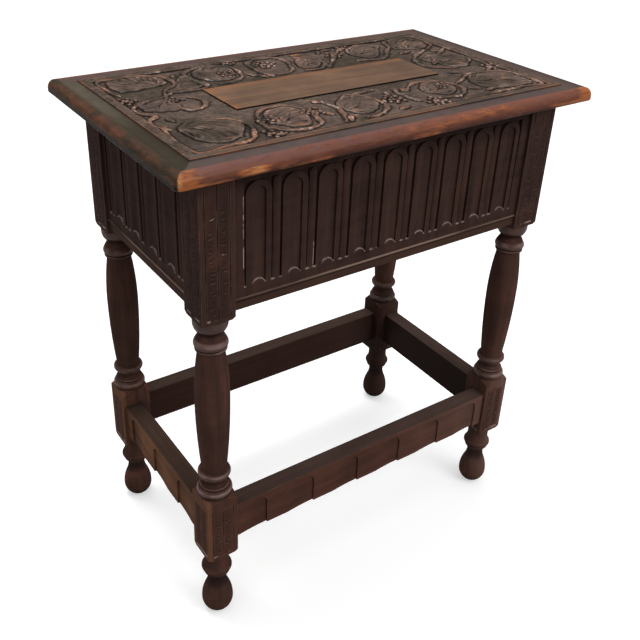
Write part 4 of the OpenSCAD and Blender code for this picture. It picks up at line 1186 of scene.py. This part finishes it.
def gouge_strip(place, v0, v1, width, sizes, shaken):
    """One upright column of gouge marks, on a strip that tapers into the face."""
    bottom = -0.25  # of the strip, inside the wood
    rim = -0.04  # of the strip's upper side at its edge, just under the face
    step = sizes.grid / MM
    xs = breaks(-width / 2, width / 2, step=step)
    ys = breaks(v0, v1, step=step)
    x, y = np.meshgrid(xs, ys)
    rise, pitch, bow = sizes.rise / MM, sizes.pitch / MM, sizes.bow / MM
    edge = np.minimum(width / 2 - np.abs(x), np.minimum(y - v0, v1 - y))
    depth = np.zeros_like(x)
    crest = np.zeros_like(x)
    count = int((v1 - v0 - 8) / pitch)
    for k in range(count):
        middle, half = shaken.uniform(-1.8, 1.8), 3.6 * shaken.uniform(0.5, 1.15)
        at = v0 + 5 + (k + shaken.uniform(-0.3, 0.3)) * pitch
        force = shaken.uniform(0.2, 1.0)
        across = (x - middle) / half
        lip = at + bow * shaken.uniform(0.4, 1.2) * (across ** 2 - 1)
        lip = lip + shaken.uniform(-1.8, 1.8) * across
        above = y - lip
        inside = np.clip(1 - across ** 2, 0, 1) ** 0.5
        depth = np.maximum(depth, force * inside * np.exp(-np.clip(above, 0, 9) / 1.7)
                           * smooth(above, -0.35, 0.15))
        crest = np.maximum(crest, force * inside * np.exp(-((above + 0.7) / 0.6) ** 2))
    cut = (rise + 0.02) * 0.92 * depth * smooth(edge, 0.8, 2)
    height = rise * smooth(edge, 0, 3.0) + rim - cut
    keep = np.ones((len(ys) - 1, len(xs) - 1), bool)
    fields = {"mark": depth, "crest": crest}
    return closed_sheet("strip", xs, ys, height, keep, bottom, place, fields)[0]


def rounded_lid():
    """The lid with its four corners turned over to a ball, as hand rounding leaves them."""
    reach = 8.0  # radius of the ball
    lower = 2.5  # radius of the round below the nose
    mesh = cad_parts["lid"].data.copy()
    mesh.name = "rounded_lid"
    shape = bmesh.new()
    shape.from_mesh(mesh)

    def in_corner(point):
        return (abs(point.x) / MM > LID_HALF_X - reach - 0.01
                and abs(point.y) / MM > LID_HALF_Y - reach - 0.01)

    def slice_all(faces, normal, place):
        parts = (set(faces) | {edge for face in faces for edge in face.edges}
                 | {vertex for face in faces for vertex in face.verts})
        bmesh.ops.bisect_plane(shape, geom=list(parts), dist=1e-7, plane_co=place,
                               plane_no=normal)

    def stand_back(radius, away):
        """How far a quarter round stands back, away from where it is widest."""
        return radius - math.sqrt(max(radius ** 2 - away ** 2, 0))

    # Cut lines across the lid beside its corners, then lines 1 mm apart in each corner
    sides = [(normal, sign, half)
             for normal, half in ((Vector((1, 0, 0)), LID_HALF_X),
                                  (Vector((0, 1, 0)), LID_HALF_Y))
             for sign in (-1, 1)]
    for normal, sign, half in sides:
        slice_all(shape.faces, normal, normal * sign * (half - reach) * MM)
    for normal, sign, half in sides:
        for line in np.arange(1.0, reach):
            faces = [face for face in shape.faces if in_corner(face.calc_center_median())]
            slice_all(faces, normal, normal * sign * (half - line) * MM)

    # Draw their points in to the ball
    for vertex in shape.verts:
        if not in_corner(vertex.co):
            continue
        out_x = abs(vertex.co.x) / MM - (LID_HALF_X - reach)
        out_y = abs(vertex.co.y) / MM - (LID_HALF_Y - reach)
        height = vertex.co.z / MM - LID_Z
        inset = 0.0
        if height > BORDER_HEIGHT - NOSE_RADIUS:
            inset = stand_back(NOSE_RADIUS, height - BORDER_HEIGHT + NOSE_RADIUS)
        elif height < lower:
            inset = stand_back(lower, lower - height)
        out = math.hypot(out_x, out_y)
        if out > reach - inset:
            share = (reach - inset) / out
            vertex.co.x = math.copysign((LID_HALF_X - reach + out_x * share) * MM, vertex.co.x)
            vertex.co.y = math.copysign((LID_HALF_Y - reach + out_y * share) * MM, vertex.co.y)
    bmesh.ops.dissolve_degenerate(shape, edges=shape.edges, dist=1e-6)
    bmesh.ops.triangulate(shape, faces=[face for face in shape.faces if len(face.verts) > 4])
    shape.to_mesh(mesh)
    shape.free()
    mesh.polygons.foreach_set("use_smooth", np.ones(len(mesh.polygons), bool))
    mesh.set_sharp_from_angle(angle=math.radians(32))
    thing = bpy.data.objects.new("rounded_lid", mesh)
    bpy.context.scene.collection.objects.link(thing)
    return thing


def joined(name, things):
    """One object out of several, under a new name."""
    with bpy.context.temp_override(active_object=things[0], selected_editable_objects=things):
        bpy.ops.object.join()
    things[0].name = name
    things[0].data.name = name
    return things[0]


def on_front_face(post_x, offset, u, v, out):
    """Points on the front face of a post, beside its middle line by an offset."""
    return np.stack([post_x + (u + offset), -LEG_Y - HALF_BLOCK - out, v], 1)


def on_side_face(sign, post_y, offset, u, v, out):
    """Points on the outer side face of a post: sign is -1 at the left and 1 at the right."""
    return np.stack([sign * (LEG_X + HALF_BLOCK + out), post_y + sign * (u + offset), v], 1)


def build_gouge_marks(sizes):
    """Columns of gouge marks between the decor lines of every post and lower block."""
    offset = 7.65  # of both columns from the middle of a face
    shaken = np.random.default_rng(sizes.seed)
    spans = ((POST_Z + 8.5, BOX_TOP - 26), (LOW_BLOCK_Z + 8.5, LOW_BLOCK_TOP - 17))
    width = sizes.width / MM
    pieces = []
    for depth_name, sy in (("front", -1), ("back", 1)):
        for side_name, sx in (("left", -1), ("right", 1)):
            faces = [partial(on_side_face, sx, sy * LEG_Y)]
            if sy < 0:
                faces.append(partial(on_front_face, sx * LEG_X))
            strips = [gouge_strip(partial(face, column), v0, v1, width, sizes, shaken)
                      for face in faces for v0, v1 in spans for column in (-offset, offset)]
            pieces.append(joined(f"gouge_marks_{depth_name}_{side_name}", strips))
    return pieces


# Operators

class COFFIN_OT_stage(bpy.types.Operator):
    """Camera, pale floor, world and lamps"""
    bl_idname = "coffin.stage"
    bl_label = "Stage"

    def execute(self, context):
        scene, stage = context.scene, context.scene.table_stage
        scene.view_settings.view_transform = "Standard"
        self.camera(scene, stage)
        self.floor(scene, stage)
        self.world(scene, stage)
        aim = Vector((0, 0, 0.4))
        self.lamp("key_lamp", (-0.3, 0.9, 3.0), aim, 1.4, stage.key)
        self.lamp("fill_lamp", (0.9, -2.4, 2.2), aim, 1.8, stage.fill)
        return {"FINISHED"}

    def camera(self, scene, stage):
        """Camera that looks along its heading and tilt, turned about its axis by its roll."""
        ahead = Vector((math.sin(stage.heading) * math.cos(stage.tilt),
                        math.cos(stage.heading) * math.cos(stage.tilt), -math.sin(stage.tilt)))
        level = Vector((math.cos(stage.heading), -math.sin(stage.heading), 0))
        up = level.cross(ahead)
        right = level * math.cos(stage.roll) + up * math.sin(stage.roll)
        up = up * math.cos(stage.roll) - level * math.sin(stage.roll)
        lens = bpy.data.cameras.new("camera")
        lens.sensor_width = 36.0
        lens.lens = stage.lens
        lens.shift_x, lens.shift_y = stage.shift_x, stage.shift_y
        lens.clip_start, lens.clip_end = 0.05, 60
        camera = bpy.data.objects.new("camera", lens)
        rotation = Matrix((right, up, -ahead)).transposed()
        camera.matrix_world = Matrix.Translation(stage.eye) @ rotation.to_4x4()
        scene.collection.objects.link(camera)
        scene.camera = camera

    def floor(self, scene, stage):
        """Floor that looks pale to the camera and throws less light on the table."""
        mesh = bpy.data.meshes.new("floor")
        half = 14.0
        corners = [(-half, -half, 0), (half, -half, 0), (half, half, 0), (-half, half, 0)]
        mesh.from_pydata(corners, [], [(0, 1, 2, 3)])
        floor = bpy.data.objects.new("floor", mesh)
        scene.collection.objects.link(floor)
        paint = Paint("pale_floor")
        rays = paint.node("LightPath")
        seen = Signal(paint, rays.outputs["Is Camera Ray"])
        seen = seen.most(Signal(paint, rays.outputs["Is Glossy Ray"]))
        seen = seen.most(Signal(paint, rays.outputs["Is Transmission Ray"]))
        matt = paint.node("BsdfDiffuse", {}, {"Color": rgba(tuple(stage.floor))})
        dull = paint.node("BsdfDiffuse", {}, {"Color": rgba(tuple(stage.bounce))})
        glow = paint.node("Emission", {}, {"Color": (1, 1, 1, 1), "Strength": 0.42})
        both = paint.node("AddShader", {}, {0: matt.outputs[0], 1: glow.outputs[0]})
        mix = paint.node("MixShader", {}, {0: seen, 1: dull.outputs[0], 2: both.outputs[0]})
        paint.node("OutputMaterial", {}, {0: mix.outputs[0]})
        mesh.materials.append(paint.material)

    def world(self, scene, stage):
        """White to the camera, and a light that grows stronger towards the zenith."""
        world = bpy.data.worlds.new("soft_sky")
        paint = Paint("soft_sky", world)
        height = paint.z * MM  # of the direction: 0 level, 1 straight up
        strength = stage.sky + height.most(0.0) * stage.zenith
        plain = paint.node("Background", {}, {"Color": (1, 1, 1, 1), "Strength": strength})
        white = paint.node("Background", {}, {"Color": (1, 1, 1, 1), "Strength": 1.0})
        seen = Signal(paint, paint.node("LightPath").outputs["Is Camera Ray"])
        mix = paint.node("MixShader", {}, {0: seen, 1: plain.outputs[0], 2: white.outputs[0]})
        paint.node("OutputWorld", {}, {0: mix.outputs[0]})
        scene.world = world

    def lamp(self, name, place, aim, size, power):
        """Square lamp that shines from a place towards its aim."""
        light = bpy.data.lights.new(name, "AREA")
        light.shape = "SQUARE"
        light.size = size
        light.energy = power
        lamp = bpy.data.objects.new(name, light)
        lamp.location = place
        lamp.rotation_euler = (aim - Vector(place)).to_track_quat("-Z", "Y").to_euler()
        bpy.context.scene.collection.objects.link(lamp)


class COFFIN_OT_lid_carving(bpy.types.Operator):
    """Vine carving in the sunk ground of the lid, in four pieces"""
    bl_idname = "coffin.lid_carving"
    bl_label = "Lid Carving"

    def execute(self, context):
        finish = lid_carving_paint()
        for thing in build_lid_carving(context.scene.table_carving):
            thing.data.materials.append(finish)
            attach(thing, "lid")
        return {"FINISHED"}


class COFFIN_OT_gouge_marks(bpy.types.Operator):
    """Gouge marks on the posts and on the lower blocks"""
    bl_idname = "coffin.gouge_marks"
    bl_label = "Gouge Marks"

    def execute(self, context):
        finish = marks_paint()
        for thing in build_gouge_marks(context.scene.table_marks):
            thing.data.materials.clear()
            thing.data.materials.append(finish)
            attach(thing, "table")
        return {"FINISHED"}


class COFFIN_OT_lid_finish(bpy.types.Operator):
    """Worn finish of the moulded lid and its tablet"""
    bl_idname = "coffin.lid_finish"
    bl_label = "Lid Finish"

    def execute(self, context):
        thing = rounded_lid()
        thing.data.materials.clear()
        thing.data.materials.append(lid_paint())
        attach(thing, "lid")
        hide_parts("lid")
        return {"FINISHED"}


class COFFIN_OT_leg_finish(bpy.types.Operator):
    """Dark waxed finish of the four turned legs"""
    bl_idname = "coffin.leg_finish"
    bl_label = "Leg Finish"

    def execute(self, context):
        dress(leg_paint(), "leg_front_left", "leg_front_right", "leg_back_left", "leg_back_right")
        return {"FINISHED"}


class COFFIN_OT_box_finish(bpy.types.Operator):
    """Finish of the carved boards, the plain back board, the rails and the bottom"""
    bl_idname = "coffin.box_finish"
    bl_label = "Box Finish"

    def execute(self, context):
        dress(board_paint("carved_front_oak", FRONT, GLINT_LINES), "front_panel")
        dress(rail_paint("front_rail_oak", FRONT), "front_rail")
        for name, side in (("left", LEFT), ("right", RIGHT)):
            dress(board_paint(f"carved_{name}_oak", side), f"{name}_panel")
            dress(rail_paint(f"{name}_rail_oak", side), f"{name}_rail")
        dress(back_board_paint(), "back_panel")
        dress(rail_paint("back_rail_oak", BACK_RAIL), "back_rail")
        dress(bottom_board_paint(), "bottom_board")
        return {"FINISHED"}


class COFFIN_OT_stretcher_finish(bpy.types.Operator):
    """Finish of the four low stretchers"""
    bl_idname = "coffin.stretcher_finish"
    bl_label = "Stretcher Finish"

    def execute(self, context):
        c = colours()
        # Tops: a painted lit tone at the front and right, a painted shaded tone at the left and
        # back
        for name, side, face, top in (("front", FRONT, c.stretcher, c.lit_stretcher_top),
                                      ("back", BACK, c.stretcher, c.shaded_stretcher_top),
                                      ("left", LEFT, c.stretcher_brown, c.shaded_stretcher_top),
                                      ("right", RIGHT, c.leg_dark, c.lit_stretcher_top)):
            finish = stretcher_paint(f"{name}_stretcher_oak", side, face, top)
            dress(finish, f"{name}_stretcher")
        return {"FINISHED"}


class COFFIN_OT_hinge_finish(bpy.types.Operator):
    """Aged brass of the hinges, pins and screws"""
    bl_idname = "coffin.hinge_finish"
    bl_label = "Hinge Finish"

    def execute(self, context):
        names = [f"{side}_hinge_{part}" for side in ("left", "right")
                 for part in ("box_leaf", "lid_leaf", "pin")]
        dress(brass_paint(), *names, "box_leaf_screws", "lid_leaf_screws")
        return {"FINISHED"}


class COFFIN_PT_table(bpy.types.Panel):
    """Sizes, colours and steps of the coffin table"""
    bl_idname = "COFFIN_PT_table"
    bl_label = "Coffin Table"
    bl_space_type = "VIEW_3D"
    bl_region_type = "UI"
    bl_category = "Coffin Table"

    def draw(self, context):
        layout = self.layout
        for operator in OPERATORS:
            layout.operator(operator.bl_idname)
        for name, group in GROUPS.items():
            box = layout.box()
            box.label(text=group.__doc__)
            for prop in group.__annotations__:
                box.prop(getattr(context.scene, name), prop)


OPERATORS = (COFFIN_OT_stage, COFFIN_OT_lid_finish, COFFIN_OT_lid_carving, COFFIN_OT_leg_finish,
             COFFIN_OT_gouge_marks, COFFIN_OT_box_finish, COFFIN_OT_stretcher_finish,
             COFFIN_OT_hinge_finish)
GROUPS = {"table_colours": OakColours, "table_carving": CarvingSizes, "table_marks": MarkSizes,
          "table_stage": StageSettings}


def register():
    for group in GROUPS.values():
        bpy.utils.register_class(group)
    for name, group in GROUPS.items():
        setattr(bpy.types.Scene, name, PointerProperty(type=group))
    for operator in OPERATORS:
        bpy.utils.register_class(operator)
    bpy.utils.register_class(COFFIN_PT_table)


def unregister():
    bpy.utils.unregister_class(COFFIN_PT_table)
    for operator in reversed(OPERATORS):
        bpy.utils.unregister_class(operator)
    for name, group in GROUPS.items():
        delattr(bpy.types.Scene, name)
        bpy.utils.unregister_class(group)


def main():
    register()
    bpy.ops.coffin.stage()
    bpy.ops.coffin.lid_finish()
    bpy.ops.coffin.lid_carving()
    bpy.ops.coffin.leg_finish()
    bpy.ops.coffin.gouge_marks()
    bpy.ops.coffin.box_finish()
    bpy.ops.coffin.stretcher_finish()
    bpy.ops.coffin.hinge_finish()


if __name__ == "__main__":
    main()
